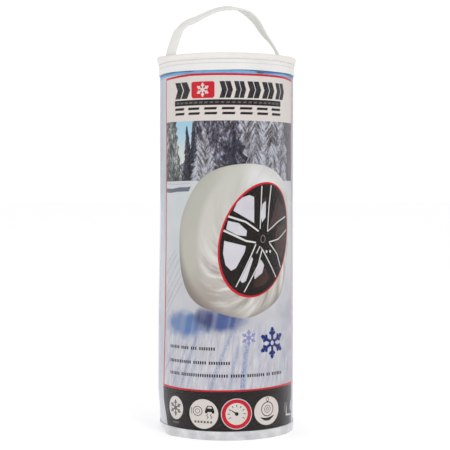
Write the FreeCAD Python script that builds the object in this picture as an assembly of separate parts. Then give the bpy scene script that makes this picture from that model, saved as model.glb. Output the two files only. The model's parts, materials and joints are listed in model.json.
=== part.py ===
"""Round zipped carry bag that holds a pair of rolled textile snow socks.

Millimetres, +Z up. The origin is at the middle of the foot, on the surface that the bag stands on.
Azimuth is measured from the front (-Y) towards the right (+X).
"""
import FreeCAD, Part
import math
import os

Vector = FreeCAD.Vector

# Bag
BAG_RADIUS = 62.4
BAG_HEIGHT = 345.0
FILM_THICKNESS = 0.4
FABRIC_THICKNESS = 0.6
FOOT_HEIGHT = 8.0
BASE_THICKNESS = 0.6
WELD_THICKNESS = 0.4
LAP_WIDTH = 9.0

# Zip
ZIP_GAP = 0.8
TAPE_WIDTH = 6.2
UPPER_TAPE_WIDTH = 3.0
COIL_WIDTH = 2.0
COIL_DEPTH = 1.6
ZIP_END = 160.0
STOP_LENGTH = 2.4
WALL_UNDER_TAPE = 2.0

# Slider and puller
SLIDER_PARKED = -146.0
SLIDER_LENGTH = 9.0
PLATE_THICKNESS = 0.9
PLATE_CLEARANCE = 0.7
POST_CLEARANCE = 0.15
POST_LENGTH = 3.0
PLATE_HEADROOM = 0.7
PLATE_SKIN = 0.1
LIP_GAP = 0.25
LIP_THICKNESS = 0.4
BAIL_LENGTH = 6.6
BAIL_HEIGHT = 2.2
BAIL_THICKNESS = 0.8
BAIL_WIDTH = 1.6
BAIL_ROOT = 0.3
PIN_RADIUS = 0.45
PULLER_LENGTH = 15.0
PULLER_WIDTH = 5.0
PULLER_THICKNESS = 1.1
PULLER_EYE = 4.6
PULLER_ARM = 1.1

# Lid
BINDING_DEPTH = 2.4
BINDING_HEIGHT = 5.6
BINDING_ROUND = 1.1
BINDING_LAP = 2.0
LID_THICKNESS = 0.8
LID_DROP = 1.9

# Handle
HANDLE_AZIMUTH = -57.0
WEBBING_WIDTH = 16.0
WEBBING_THICKNESS = 1.2
TAB_LENGTH = 12.0
STRAP_CLEARANCE = 0.6
STRAP_INSET = 2.0
TAB_CLEARANCE = 0.2
# Route of the strap's middle line from the front foot to the rear one: place between the middle (0) and the
# feet (-1 and 1), and height above the rim of the bag.
STRAP_ROUTE = [(-1.0, 0.6), (-0.965, 9.2), (-0.907, 18.2), (-0.834, 25.2), (-0.73, 30.6), (-0.482, 38.2), (-0.166, 46.4),
               (0.116, 49.2), (0.34, 47.2), (0.546, 39.4), (0.705, 27.6), (0.838, 19.8), (0.96, 10.6), (1.0, 0.6)]

# Contents
INSERT_THICKNESS = 0.35
INSERT_CLEARANCE = 0.1
INSERT_LIFT = 0.2
INSERT_SLIT = 10.0
INSERT_DROP = 15.0
ROLL_CLEARANCE = 3.4
ROLL_ROUND = 9.0
ROLL_GAP = 0.2
ELASTIC_RADIUS = 2.4
ELASTIC_SINK = 1.0
ELASTIC_RING = 0.62
BAND_WIDTH = 14.0
BAND_THICKNESS = 1.2
HEADROOM = 23.0
LEAFLET_SIZE = (74.0, 62.0)
LEAFLET_THICKNESS = 1.4

# Worked-out heights and radii
BINDING_BOTTOM = BAG_HEIGHT - BINDING_HEIGHT
UPPER_EDGE = BINDING_BOTTOM - UPPER_TAPE_WIDTH
LOWER_EDGE = UPPER_EDGE - ZIP_GAP
ZIP_HEIGHT = (UPPER_EDGE + LOWER_EDGE) / 2
TAPE_RADIUS = BAG_RADIUS + FABRIC_THICKNESS
COIL_INNER = BAG_RADIUS - COIL_DEPTH
TAPE_BOTTOM = LOWER_EDGE - TAPE_WIDTH
WALL_TOP = TAPE_BOTTOM + WALL_UNDER_TAPE
LID_TOP = BAG_HEIGHT - LID_DROP
BINDING_INNER = BAG_RADIUS - BINDING_LAP
INSERT_OUTER = BAG_RADIUS - FILM_THICKNESS - INSERT_CLEARANCE
INSERT_TOP = BAG_HEIGHT - INSERT_DROP
ROLL_RADIUS = BAG_RADIUS - ROLL_CLEARANCE
CONTENT_TOP = BAG_HEIGHT - HEADROOM - LEAFLET_THICKNESS
PLATE_OUTER = TAPE_RADIUS + PLATE_CLEARANCE + PLATE_THICKNESS
PIN_DISTANCE = PLATE_OUTER + (BAIL_HEIGHT - BAIL_THICKNESS) / 2
PIVOT_HEIGHT = BAG_HEIGHT + WEBBING_WIDTH / 2 + STRAP_CLEARANCE


def around(azimuth, radius, height):
    """Point at an azimuth, a radius and a height."""
    angle = math.radians(azimuth)
    return Vector(radius * math.sin(angle), -radius * math.cos(angle), height)


def turned(profile, start=-180.0, end=180.0):
    """Solid swept round the bag's axis from a closed (radius, height) profile, between two azimuths."""
    wire = Part.makePolygon([around(start, r, z) for r, z in profile + profile[:1]])
    return Part.Face(wire).revolve(Vector(0, 0, 0), Vector(0, 0, 1), end - start)


def ring(inner, outer, bottom, top, start=-180.0, end=180.0):
    """Band of a tube between two azimuths."""
    return turned([(inner, bottom), (outer, bottom), (outer, top), (inner, top)], start, end)


def degrees(length, radius):
    """Angle that an arc length takes up at a radius."""
    return math.degrees(length / radius)


def oriented(shape, azimuth):
    """Turn a shape drawn at the front of the bag to an azimuth."""
    shape = shape.copy()
    shape.rotate(Vector(0, 0, 0), Vector(0, 0, 1), azimuth)
    return shape


def box(low, high):
    """Box between two corners."""
    size = [b - a for a, b in zip(low, high)]
    return Part.makeBox(size[0], size[1], size[2], Vector(*low))


def ribbon(route, thickness, width):
    """Strip of webbing drawn at the front: its route in (x, z), its width along Y."""
    curve = Part.BSplineCurve()
    curve.interpolate([Vector(x, 0, z) for x, z in route])
    stations = 40
    sides = {1: [], -1: []}
    for index in range(stations + 1):
        at = curve.FirstParameter + (curve.LastParameter - curve.FirstParameter) * index / stations
        along = curve.tangent(at)[0]
        normal = Vector(-along.z, 0, along.x)
        for side in sides:
            sides[side].append(curve.value(at) + normal * (side * thickness / 2) - Vector(0, width / 2, 0))
    outer, inner = Part.BSplineCurve(), Part.BSplineCurve()
    outer.interpolate(sides[1])
    inner.interpolate(sides[-1])
    edges = [outer.toShape(), Part.makeLine(sides[1][-1], sides[-1][-1]), inner.toShape(),
             Part.makeLine(sides[-1][0], sides[1][0])]
    return Part.Face(Part.Wire(Part.__sortEdges__(edges))).extrude(Vector(0, width, 0))


def bag_parts():
    """Wall, foot and base."""
    film_inner = BAG_RADIUS - FILM_THICKNESS
    lip_inner = film_inner - BASE_THICKNESS
    base_bottom = FOOT_HEIGHT - BASE_THICKNESS
    lap = degrees(LAP_WIDTH, BAG_RADIUS) / 2
    return {
        "bag_wall": ring(film_inner, BAG_RADIUS, 0, WALL_TOP),
        "foot_weld_band": ring(BAG_RADIUS, BAG_RADIUS + WELD_THICKNESS, 0, FOOT_HEIGHT),
        "wall_lap_weld": ring(BAG_RADIUS, BAG_RADIUS + WELD_THICKNESS, FOOT_HEIGHT, TAPE_BOTTOM, 180 - lap, 180 + lap),
        "base_panel": turned([(0, base_bottom), (lip_inner, base_bottom), (lip_inner, 0), (film_inner, 0),
                              (film_inner, FOOT_HEIGHT), (0, FOOT_HEIGHT)]),
    }


def zip_parts():
    """Tapes, coils, stops and the gusset that takes over where the zip ends."""
    coil_end = ZIP_END - degrees(STOP_LENGTH, BAG_RADIUS)
    coil_bottom = LOWER_EDGE - COIL_WIDTH
    parts = {
        "lower_zip_tape": ring(BAG_RADIUS, TAPE_RADIUS, TAPE_BOTTOM, LOWER_EDGE, -ZIP_END, ZIP_END),
        "lower_zip_coil": ring(COIL_INNER, BAG_RADIUS, coil_bottom, LOWER_EDGE, -coil_end, coil_end),
        "upper_zip_tape": ring(BAG_RADIUS, TAPE_RADIUS, UPPER_EDGE, BINDING_BOTTOM, -ZIP_END, ZIP_END),
        "upper_zip_coil": ring(COIL_INNER, BAG_RADIUS, UPPER_EDGE, UPPER_EDGE + COIL_WIDTH, -coil_end, coil_end),
        "hinge_gusset_lower": ring(BAG_RADIUS, TAPE_RADIUS, TAPE_BOTTOM, LOWER_EDGE, ZIP_END, 360 - ZIP_END),
        "hinge_gusset_upper": ring(BAG_RADIUS, TAPE_RADIUS, UPPER_EDGE, BINDING_BOTTOM,
                                   ZIP_END, 360 - ZIP_END),
    }
    for name, start, end in (("zip_stop_left", -ZIP_END, -coil_end), ("zip_stop_right", coil_end, ZIP_END)):
        parts[name] = ring(COIL_INNER, BAG_RADIUS, coil_bottom, LOWER_EDGE, start, end)
    return parts


def slider():
    """Slider that grips the lower row. Its plates stand clear of the upper row, which lifts out of it."""
    half = degrees(SLIDER_LENGTH, TAPE_RADIUS) / 2
    post = degrees(POST_LENGTH, TAPE_RADIUS) / 2
    high = BINDING_BOTTOM - PLATE_HEADROOM
    low = 2 * ZIP_HEIGHT - high
    outside = PLATE_OUTER - PLATE_THICKNESS
    inside = COIL_INNER - PLATE_CLEARANCE
    lip_top = LOWER_EDGE - COIL_WIDTH - LIP_GAP
    lip_bottom = min(low, lip_top - LIP_THICKNESS)
    post_half = ZIP_GAP / 2 - POST_CLEARANCE
    body = ring(outside, PLATE_OUTER, low, high, -half, half)
    body = body.fuse(ring(inside - PLATE_THICKNESS, inside, lip_bottom, high, -half, half))
    body = body.fuse(ring(inside - PLATE_THICKNESS, COIL_INNER + COIL_DEPTH / 2, lip_bottom, lip_top, -half, half))
    body = body.fuse(ring(inside - PLATE_SKIN, outside + PLATE_SKIN, ZIP_HEIGHT - post_half, ZIP_HEIGHT + post_half,
                          -post, post))
    top = PLATE_OUTER + BAIL_HEIGHT
    bail = box((-BAIL_LENGTH / 2, -top, ZIP_HEIGHT - BAIL_WIDTH / 2),
               (BAIL_LENGTH / 2, BAIL_ROOT - PLATE_OUTER, ZIP_HEIGHT + BAIL_WIDTH / 2))
    window = BAIL_LENGTH / 2 - BAIL_THICKNESS
    bail = bail.cut(box((-window, BAIL_THICKNESS - top, ZIP_HEIGHT - BAIL_WIDTH),
                        (window, -PLATE_OUTER, ZIP_HEIGHT + BAIL_WIDTH)))
    return oriented(body.fuse(bail).removeSplitter(), SLIDER_PARKED)


def puller():
    """Puller with an open eye, whose pin passes under the slider's bail."""
    middle = -PIN_DISTANCE
    half = PULLER_WIDTH / 2
    plate = box((0, middle - PULLER_THICKNESS / 2, ZIP_HEIGHT - half),
                (PULLER_LENGTH, middle + PULLER_THICKNESS / 2, ZIP_HEIGHT + half))
    corners = [edge for edge in plate.Edges
               if abs(edge.Length - PULLER_THICKNESS) < 0.01 and edge.CenterOfMass.x > PULLER_LENGTH / 2]
    plate = plate.makeFillet(half * 0.7, corners)
    eye = box((-PULLER_THICKNESS, middle - PULLER_THICKNESS, ZIP_HEIGHT - half + PULLER_ARM),
              (PULLER_EYE, middle + PULLER_THICKNESS, ZIP_HEIGHT + half - PULLER_ARM))
    pin = Part.makeCylinder(PIN_RADIUS, PULLER_WIDTH, Vector(0, middle, ZIP_HEIGHT - half))
    return oriented(plate.cut(eye).fuse(pin).removeSplitter(), SLIDER_PARKED)


def lid_parts():
    """Lid panel inside its binding, which stands out past the wall as a soft flange."""
    outer = TAPE_RADIUS + BINDING_DEPTH
    binding = ring(BINDING_INNER, outer, BINDING_BOTTOM, BAG_HEIGHT)
    rims = [edge for edge in binding.Edges
            if isinstance(edge.Curve, Part.Circle) and abs(edge.Curve.Radius - outer) < 0.01]
    return {
        "lid_panel": ring(0, BINDING_INNER, LID_TOP - LID_THICKNESS, LID_TOP),
        "lid_binding": binding.makeFillet(BINDING_ROUND, rims),
    }


def handle_parts():
    """Strap that swings over about its two feet, and its two ends sewn flat on the lid."""
    span = BAG_RADIUS - STRAP_INSET
    route = [(share * span, BAG_HEIGHT + rise) for share, rise in STRAP_ROUTE]
    reach = span + 2 * WEBBING_THICKNESS
    crown = max(z for x, z in route) + WEBBING_THICKNESS
    above = box((-reach, -WEBBING_WIDTH, PIVOT_HEIGHT), (reach, WEBBING_WIDTH, crown))
    feet = Part.makeCylinder(WEBBING_WIDTH / 2, 2 * reach, Vector(-reach, 0, PIVOT_HEIGHT), Vector(1, 0, 0))
    turn = HANDLE_AZIMUTH + 90
    strap = ribbon(route, WEBBING_THICKNESS, WEBBING_WIDTH).common(above.fuse(feet))
    parts = {"handle_strap": oriented(strap, turn)}
    rim = BINDING_INNER - TAB_CLEARANCE
    seat = Part.makeCylinder(rim, WEBBING_THICKNESS, Vector(0, 0, LID_TOP))
    for name, side in (("handle_end_front", -1), ("handle_end_rear", 1)):
        near, far = sorted((side * rim, side * (rim - TAB_LENGTH)))
        tab = box((near, -WEBBING_WIDTH / 2, LID_TOP), (far, WEBBING_WIDTH / 2, LID_TOP + WEBBING_THICKNESS))
        parts[name] = oriented(tab.common(seat), turn)
    return parts


def sock_parts():
    """Two rolled socks, one on the other, each with its red front elastic and its rear elastic."""
    parts = {}
    room = CONTENT_TOP - FOOT_HEIGHT
    step = room / 2
    height = step - 2 * ELASTIC_RADIUS + ELASTIC_SINK - ROLL_GAP
    for index, name in enumerate(("sock_lower", "sock_upper")):
        bottom = FOOT_HEIGHT + index * step
        roll = Part.makeCylinder(ROLL_RADIUS, height, Vector(0, 0, bottom))
        rims = [edge for edge in roll.Edges if isinstance(edge.Curve, Part.Circle)]
        roll = roll.makeFillet(ROLL_ROUND, rims)
        top = bottom + height
        middle = bottom + height / 2
        seat = Part.makeTorus(ROLL_RADIUS * ELASTIC_RING, ELASTIC_RADIUS, Vector(0, 0, top + ELASTIC_RADIUS - ELASTIC_SINK))
        groove = ring(ROLL_RADIUS - BAND_THICKNESS, ROLL_RADIUS, middle - BAND_WIDTH / 2, middle + BAND_WIDTH / 2)
        parts[name + "_cover"] = roll.cut(seat).cut(groove)
        parts[name + "_front_elastic"] = seat
        parts[name + "_rear_elastic"] = groove
    return parts


def paper_parts():
    """Printed insert inside the wall, and the leaflet on the upper sock."""
    slit = degrees(INSERT_SLIT, BAG_RADIUS) / 2
    inner = INSERT_OUTER - INSERT_THICKNESS
    width, depth = LEAFLET_SIZE
    return {
        "insert_sheet": ring(inner, INSERT_OUTER, FOOT_HEIGHT + INSERT_LIFT, INSERT_TOP, slit - 180, 180 - slit),
        "instruction_leaflet": box((-width / 2, -depth / 2, CONTENT_TOP),
                                   (width / 2, depth / 2, CONTENT_TOP + LEAFLET_THICKNESS)),
    }


def all_parts():
    """Every sub-part by name."""
    parts = {}
    for group in (bag_parts, zip_parts, lid_parts, handle_parts, sock_parts, paper_parts):
        parts.update(group())
    parts["zip_slider"] = slider()
    parts["zip_puller"] = puller()
    return parts


os.makedirs("parts", exist_ok=True)
for node, shape in sorted(all_parts().items()):
    if not shape.isValid():
        print("not valid:", node)
    shape.exportStep("parts/" + node + ".step")
    bounds = shape.BoundBox
    print("%-24s solids %d  volume %9.1f  z %7.2f to %7.2f"
          % (node, len(shape.Solids), shape.Volume, bounds.ZMin, bounds.ZMax))
print("pivots: zip height %.2f, lid hinge y %.2f, puller pin radius %.2f, handle pivot height %.2f"
      % (ZIP_HEIGHT, TAPE_RADIUS, PIN_DISTANCE, PIVOT_HEIGHT))
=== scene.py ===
"""Looks of the carry bag of two rolled snow socks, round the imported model. Metres, +Z up, front at -Y."""
import json
import math
import random

import bmesh
import bpy
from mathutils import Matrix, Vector, noise
from mathutils.geometry import delaunay_2d_cdt


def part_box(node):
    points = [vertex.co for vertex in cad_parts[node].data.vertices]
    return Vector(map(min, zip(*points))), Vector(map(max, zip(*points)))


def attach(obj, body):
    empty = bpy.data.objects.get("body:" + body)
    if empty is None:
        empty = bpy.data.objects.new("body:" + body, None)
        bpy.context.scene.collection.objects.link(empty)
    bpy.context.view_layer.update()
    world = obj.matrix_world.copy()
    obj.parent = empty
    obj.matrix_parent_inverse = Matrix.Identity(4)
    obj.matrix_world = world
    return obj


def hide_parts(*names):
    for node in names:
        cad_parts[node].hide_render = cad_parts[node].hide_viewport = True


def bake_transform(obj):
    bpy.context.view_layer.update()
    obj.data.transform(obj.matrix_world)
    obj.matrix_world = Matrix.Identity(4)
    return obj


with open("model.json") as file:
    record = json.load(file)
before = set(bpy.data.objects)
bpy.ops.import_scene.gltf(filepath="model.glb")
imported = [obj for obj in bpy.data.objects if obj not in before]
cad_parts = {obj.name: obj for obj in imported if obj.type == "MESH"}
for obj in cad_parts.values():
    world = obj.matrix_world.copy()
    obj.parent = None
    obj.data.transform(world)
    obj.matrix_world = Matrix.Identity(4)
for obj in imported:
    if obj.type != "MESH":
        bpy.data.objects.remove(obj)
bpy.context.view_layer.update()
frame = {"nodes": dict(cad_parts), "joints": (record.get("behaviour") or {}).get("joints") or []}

MM = 0.001
FULL_TURN = 360.0


# ---------------------------------------------------------------- sizes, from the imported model
def span(node):
    """Outer radius, lowest and highest height of a node that goes round the bag's axis."""
    low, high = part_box(node)
    return high.x, low.z, high.z


WALL_RADIUS, WALL_LOW, WALL_HIGH = span("bag_wall")
FOOT_RADIUS, FOOT_LOW, FOOT_HIGH = span("foot_weld_band")
SHEET_RADIUS, SHEET_LOW, SHEET_HIGH = span("insert_sheet")
TAPE_RADIUS, TAPE_LOW, TAPE_HIGH = span("lower_zip_tape")
UPPER_LOW, UPPER_HIGH = span("upper_zip_tape")[1:]
COIL_TOP = span("upper_zip_coil")[2]
RIM_RADIUS, RIM_LOW = span("lid_binding")[:2]
LID_RADIUS, _, LID_HIGH = span("lid_panel")
ZIP_HEIGHT = (TAPE_HIGH + UPPER_LOW) / 2
JOINT = {joint["name"]: joint for joint in frame["joints"]}
HANDLE_AXIS = Vector(JOINT["handle_swing"]["axis"])
ZIP_END = 160.0
FILM = 0.4 * MM
CLOTH = 0.6 * MM


# ---------------------------------------------------------------- camera, floor and light
LENS = 94.5
CAMERA_PLACE = (-0.0015, -1.110, 0.217)
CAMERA_TILT = -1.35
FLOOR_SIZE = 60.0
FLOOR_WHITE, FLOOR_GLOW = 0.9, 0.24
AIM = Vector((0, 0, 0.2))
AMBIENT, AMBIENT_IN_GLOSS, BACKDROP = 0.86, 0.38, 1.05
LIGHTS = (("key_light", (0.9, -1.3, 1.5), (1.0, 1.0), 7), ("fill_light", (-1.3, -0.9, 0.9), (0.7, 1.4), 3))


def new_object(name, data):
    item = bpy.data.objects.new(name, data)
    bpy.context.scene.collection.objects.link(item)
    return item


def add_camera():
    data = bpy.data.cameras.new("camera")
    data.lens = LENS
    data.clip_start = 0.05
    data.clip_end = 200
    camera = new_object("camera", data)
    camera.location = CAMERA_PLACE
    camera.rotation_euler = (math.radians(90 + CAMERA_TILT), 0, 0)
    bpy.context.scene.camera = camera


def add_floor():
    mesh = bpy.data.meshes.new("floor")
    corners = [(x * FLOOR_SIZE, y * FLOOR_SIZE, 0) for x, y in ((-1, -1), (1, -1), (1, 1), (-1, 1))]
    mesh.from_pydata(corners, [], [(0, 1, 2, 3)])
    floor = new_object("floor", mesh)
    material = bpy.data.materials.new("pale_floor")
    material.use_nodes = True
    surface = material.node_tree.nodes["Principled BSDF"]
    surface.inputs["Base Color"].default_value = (FLOOR_WHITE, FLOOR_WHITE, FLOOR_WHITE, 1)
    surface.inputs["Emission Color"].default_value = (1, 1, 1, 1)
    surface.inputs["Emission Strength"].default_value = FLOOR_GLOW
    surface.inputs["Roughness"].default_value = 0.9
    surface.inputs["Specular IOR Level"].default_value = 0.1
    mesh.materials.append(material)


def add_softbox(name, place, size, power):
    data = bpy.data.lights.new(name, "AREA")
    data.shape = "RECTANGLE"
    data.size, data.size_y = size
    data.energy = power
    lamp = new_object(name, data)
    lamp.location = place
    lamp.rotation_euler = (AIM - Vector(place)).to_track_quat("-Z", "Y").to_euler()


def add_world():
    """White surroundings that light the bag evenly and show only weakly in its gloss."""
    world = bpy.data.worlds.new("studio")
    bpy.context.scene.world = world
    world.use_nodes = True
    tree = world.node_tree
    background = tree.nodes["Background"]
    path = tree.nodes.new("ShaderNodeLightPath")
    strength = AMBIENT
    for ray, value in (("Is Glossy Ray", AMBIENT_IN_GLOSS), ("Is Camera Ray", BACKDROP)):
        choose = tree.nodes.new("ShaderNodeMix")
        tree.links.new(path.outputs[ray], choose.inputs[0])
        choose.inputs[3].default_value = value
        if isinstance(strength, float):
            choose.inputs[2].default_value = strength
        else:
            tree.links.new(strength, choose.inputs[2])
        strength = choose.outputs[0]
    tree.links.new(strength, background.inputs["Strength"])
    background.inputs["Color"].default_value = (1, 1, 1, 1)
    bpy.context.scene.view_settings.view_transform = "Standard"


add_camera()
add_floor()
add_world()
for light in LIGHTS:
    add_softbox(*light)


# ---------------------------------------------------------------- node building
def rgb(red, green, blue):
    """Linear colour from the 0 to 255 values that a colour chart gives."""
    def linear(value):
        value /= 255
        return value / 12.92 if value <= 0.04045 else ((value + 0.055) / 1.055) ** 2.4
    return (linear(red), linear(green), linear(blue), 1.0)


def feed(tree, socket, value):
    """Give a socket a value, or link it to the socket that feeds it."""
    if isinstance(value, bpy.types.NodeSocket):
        tree.links.new(value, socket)
    else:
        socket.default_value = value


def put(tree, kind, inputs=(), **settings):
    """Add a node. Inputs go by name or number, and each is a value or the socket that feeds it."""
    node = tree.nodes.new(kind)
    for name, value in settings.items():
        setattr(node, name, value)
    for name, value in dict(inputs).items():
        feed(tree, node.inputs[name], value)
    return node


def calc(tree, operation, first, second=0.0, third=0.0, clamp=False):
    inputs = {0: first, 1: second, 2: third}
    return put(tree, "ShaderNodeMath", inputs, operation=operation, use_clamp=clamp).outputs[0]


def times(tree, first, second):
    return calc(tree, "MULTIPLY", first, second)


def plus(tree, first, second):
    return calc(tree, "ADD", first, second)


def minus(tree, first, second):
    return calc(tree, "SUBTRACT", first, second)


def scaled(tree, value, factor, added):
    """value times factor, plus added."""
    return calc(tree, "MULTIPLY_ADD", value, factor, added)


def ease(tree, value, low, high):
    """0 below low and 1 above high, with a smooth rise."""
    return put(tree, "ShaderNodeMapRange", {"Value": value, "From Min": low, "From Max": high},
               interpolation_type="SMOOTHSTEP").outputs["Result"]


def blend_colours(tree, share, first, second):
    node = put(tree, "ShaderNodeMix", {0: share}, data_type="RGBA")
    feed(tree, node.inputs[6], first)
    feed(tree, node.inputs[7], second)
    return node.outputs[2]


def speckle(tree, vector, scale, detail=2.0, roughness=0.5):
    return put(tree, "ShaderNodeTexNoise", {"Vector": vector, "Scale": scale, "Detail": detail,
                                            "Roughness": roughness}).outputs["Fac"]


def vector_of(tree, x, y, z=0.0):
    return put(tree, "ShaderNodeCombineXYZ", {0: x, 1: y, 2: z}).outputs[0]


def parts_of(tree, vector):
    return put(tree, "ShaderNodeSeparateXYZ", {0: vector}).outputs


def new_effect(name, takes, gives):
    """Shader node group with named inputs and outputs. Returns its tree, input sockets and output node."""
    tree = bpy.data.node_groups.new(name, "ShaderNodeTree")
    for label, kind, value in takes:
        socket = tree.interface.new_socket(label, in_out="INPUT", socket_type=kind)
        if value is not None:
            socket.default_value = value
    for label, kind in gives:
        tree.interface.new_socket(label, in_out="OUTPUT", socket_type=kind)
    return tree, tree.nodes.new("NodeGroupInput").outputs, tree.nodes.new("NodeGroupOutput")


def use_effect(tree, effect, inputs):
    return put(tree, "ShaderNodeGroup", inputs, node_tree=effect).outputs


NUMBER, COLOUR, PLACE = "NodeSocketFloat", "NodeSocketColor", "NodeSocketVector"


def make_weave():
    """Plain weave in millimetres: yarns that pass over and under each other, with fuzz and uneven yarns. Its
    Shade output is painted shade: darker where a yarn lies low, between and under its neighbours.
    """
    tree, takes, out = new_effect("weave", [("Place", PLACE, None), ("Warp", NUMBER, 0.6),
                                            ("Weft", NUMBER, 0.6)], [("Height", NUMBER), ("Shade", NUMBER)])
    x, y, _ = parts_of(tree, takes["Place"])
    across = calc(tree, "DIVIDE", x, takes["Warp"])
    along = calc(tree, "DIVIDE", y, takes["Weft"])
    squares = plus(tree, calc(tree, "FLOOR", across), calc(tree, "FLOOR", along))
    over = calc(tree, "FLOORED_MODULO", squares, 2.0)
    warp_round = calc(tree, "ABSOLUTE", calc(tree, "SINE", times(tree, across, math.pi)))
    weft_round = calc(tree, "ABSOLUTE", calc(tree, "SINE", times(tree, along, math.pi)))
    crown = times(tree, warp_round, weft_round)
    lifted = scaled(tree, over, 0.35, 0.5)
    fuzz = speckle(tree, takes["Place"], 2.4, 3.0)
    height = scaled(tree, fuzz, 0.25, times(tree, crown, lifted))
    tree.links.new(height, out.inputs["Height"])
    # Shade is painted shade of the weave's relief: the low yarns and the hollows between yarns are darkened.
    tree.links.new(scaled(tree, height, 0.3, 0.86), out.inputs["Shade"])
    return tree


def make_soiling():
    """Slow, faint changes of tone over a surface, as on cloth and film that has been handled."""
    tree, takes, out = new_effect("handled_tone", [("Place", PLACE, None), ("Colour", COLOUR, None),
                                                   ("Amount", NUMBER, 0.1)], [("Colour", COLOUR)])
    slow = speckle(tree, takes["Place"], 0.045, 3.0)
    fine = speckle(tree, takes["Place"], 0.6, 2.0)
    tone = plus(tree, times(tree, slow, 0.7), times(tree, fine, 0.3))
    drop = times(tree, minus(tree, tone, 0.5), takes["Amount"])
    lift = plus(tree, times(tree, drop, 2.0), 1.0)
    bright = put(tree, "ShaderNodeVectorMath", {0: takes["Colour"], 3: lift}, operation="SCALE").outputs[0]
    tree.links.new(bright, out.inputs["Colour"])
    return tree


WEAVE = make_weave()
TONE = make_soiling()


def finish_material(name, build, roughness=0.6, bump=0.0, depth=0.0002, **settings):
    """Material whose build(tree, place) gives a colour and a height. place is the piece's UV map, in mm."""
    material = bpy.data.materials.new(name)
    material.use_nodes = True
    tree = material.node_tree
    surface = tree.nodes["Principled BSDF"]
    place = put(tree, "ShaderNodeUVMap", uv_map="cloth").outputs[0]
    colour, height = build(tree, place)
    feed(tree, surface.inputs["Base Color"], colour)
    if height is not None and bump:
        relief = put(tree, "ShaderNodeBump", {"Strength": bump, "Distance": depth, "Height": height})
        tree.links.new(relief.outputs[0], surface.inputs["Normal"])
    surface.inputs["Roughness"].default_value = roughness
    for name_, value in settings.items():
        surface.inputs[name_.replace("_", " ")].default_value = value
    return material


def cloth_material(name, colour, warp, weft, roughness=0.8, tone=0.12, bump=0.6):
    def build(tree, place):
        yarn = use_effect(tree, WEAVE, {"Place": place, "Warp": warp, "Weft": weft})
        base = use_effect(tree, TONE, {"Place": place, "Colour": colour, "Amount": tone})["Colour"]
        # The weave's painted shade darkens the cloth's colour where its yarns lie low.
        shaded = put(tree, "ShaderNodeVectorMath", {0: base, 3: yarn["Shade"]}, operation="SCALE").outputs[0]
        return shaded, yarn["Height"]
    return finish_material(name, build, roughness, bump, 0.00015, Sheen_Weight=0.15)


TAPE_CLOTH = cloth_material("zip_tape_twill", rgb(226, 225, 224), 0.45, 0.9)
RIM_CLOTH = cloth_material("binding_cloth", rgb(230, 226, 221), 0.7, 0.7, bump=0.8)
LID_CLOTH = cloth_material("lid_cloth", rgb(236, 236, 236), 0.5, 0.5, roughness=0.6)
WEBBING = cloth_material("handle_webbing", rgb(226, 225, 221), 1.3, 0.8, roughness=0.7, bump=0.7)
SOCK_CLOTH = cloth_material("sock_textile", rgb(214, 214, 204), 0.9, 0.9, bump=0.9)
RED_CORD = cloth_material("red_elastic", rgb(196, 24, 40), 0.8, 0.5, bump=1.0)
WHITE_BAND = cloth_material("white_elastic", rgb(222, 221, 216), 0.8, 2.2, bump=1.0)
THREAD = finish_material("white_thread", lambda tree, place: (rgb(236, 235, 231), None), 0.6)
COIL_PLASTIC = finish_material("coil_polyester", lambda tree, place: (rgb(232, 232, 228), None), 0.35)


def enamel(tree, place):
    spot = put(tree, "ShaderNodeTexCoord").outputs["Object"]
    worn = speckle(tree, spot, 420.0, 2.0)
    return blend_colours(tree, ease(tree, worn, 0.45, 0.75), rgb(232, 232, 230), rgb(214, 213, 209)), worn


SLIDER_ENAMEL = finish_material("slider_enamel", enamel, 0.28, 0.15, 0.0001, Coat_Weight=0.3)


# ---------------------------------------------------------------- mesh building
def around(radius, degrees, height):
    """Point at a distance from the bag's axis. 0 degrees is the front and 90 the right-hand side."""
    turn = math.radians(degrees)
    return Vector((radius * math.sin(turn), -radius * math.cos(turn), height))


def outward(degrees):
    return around(1.0, degrees, 0.0)


def smooth_step(value, low, high):
    share = min(max((value - low) / (high - low), 0.0), 1.0)
    return share * share * (3 - 2 * share)


def wobble(x, y, z=0.0):
    """Slow random number from -1 to 1, the same in each run."""
    return noise.noise(Vector((x, y, z)))


def mesh_piece(name, points, faces, materials, uvs=None, picks=None, sharp=40):
    """Mesh object with a UV map called cloth, in millimetres. uvs and picks follow the faces."""
    mesh = bpy.data.meshes.new(name)
    mesh.from_pydata([tuple(point) for point in points], [], faces)
    for material in materials:
        mesh.materials.append(material)
    if uvs is not None:
        layer = mesh.uv_layers.new(name="cloth")
        flat = [value for face in uvs for corner in face for value in corner]
        layer.data.foreach_set("uv", flat)
    if picks is not None:
        mesh.polygons.foreach_set("material_index", picks)
    mesh.polygons.foreach_set("use_smooth", [True] * len(mesh.polygons))
    mesh.set_sharp_from_angle(angle=math.radians(sharp))
    mesh.update()
    return new_object(name, mesh)


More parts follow.
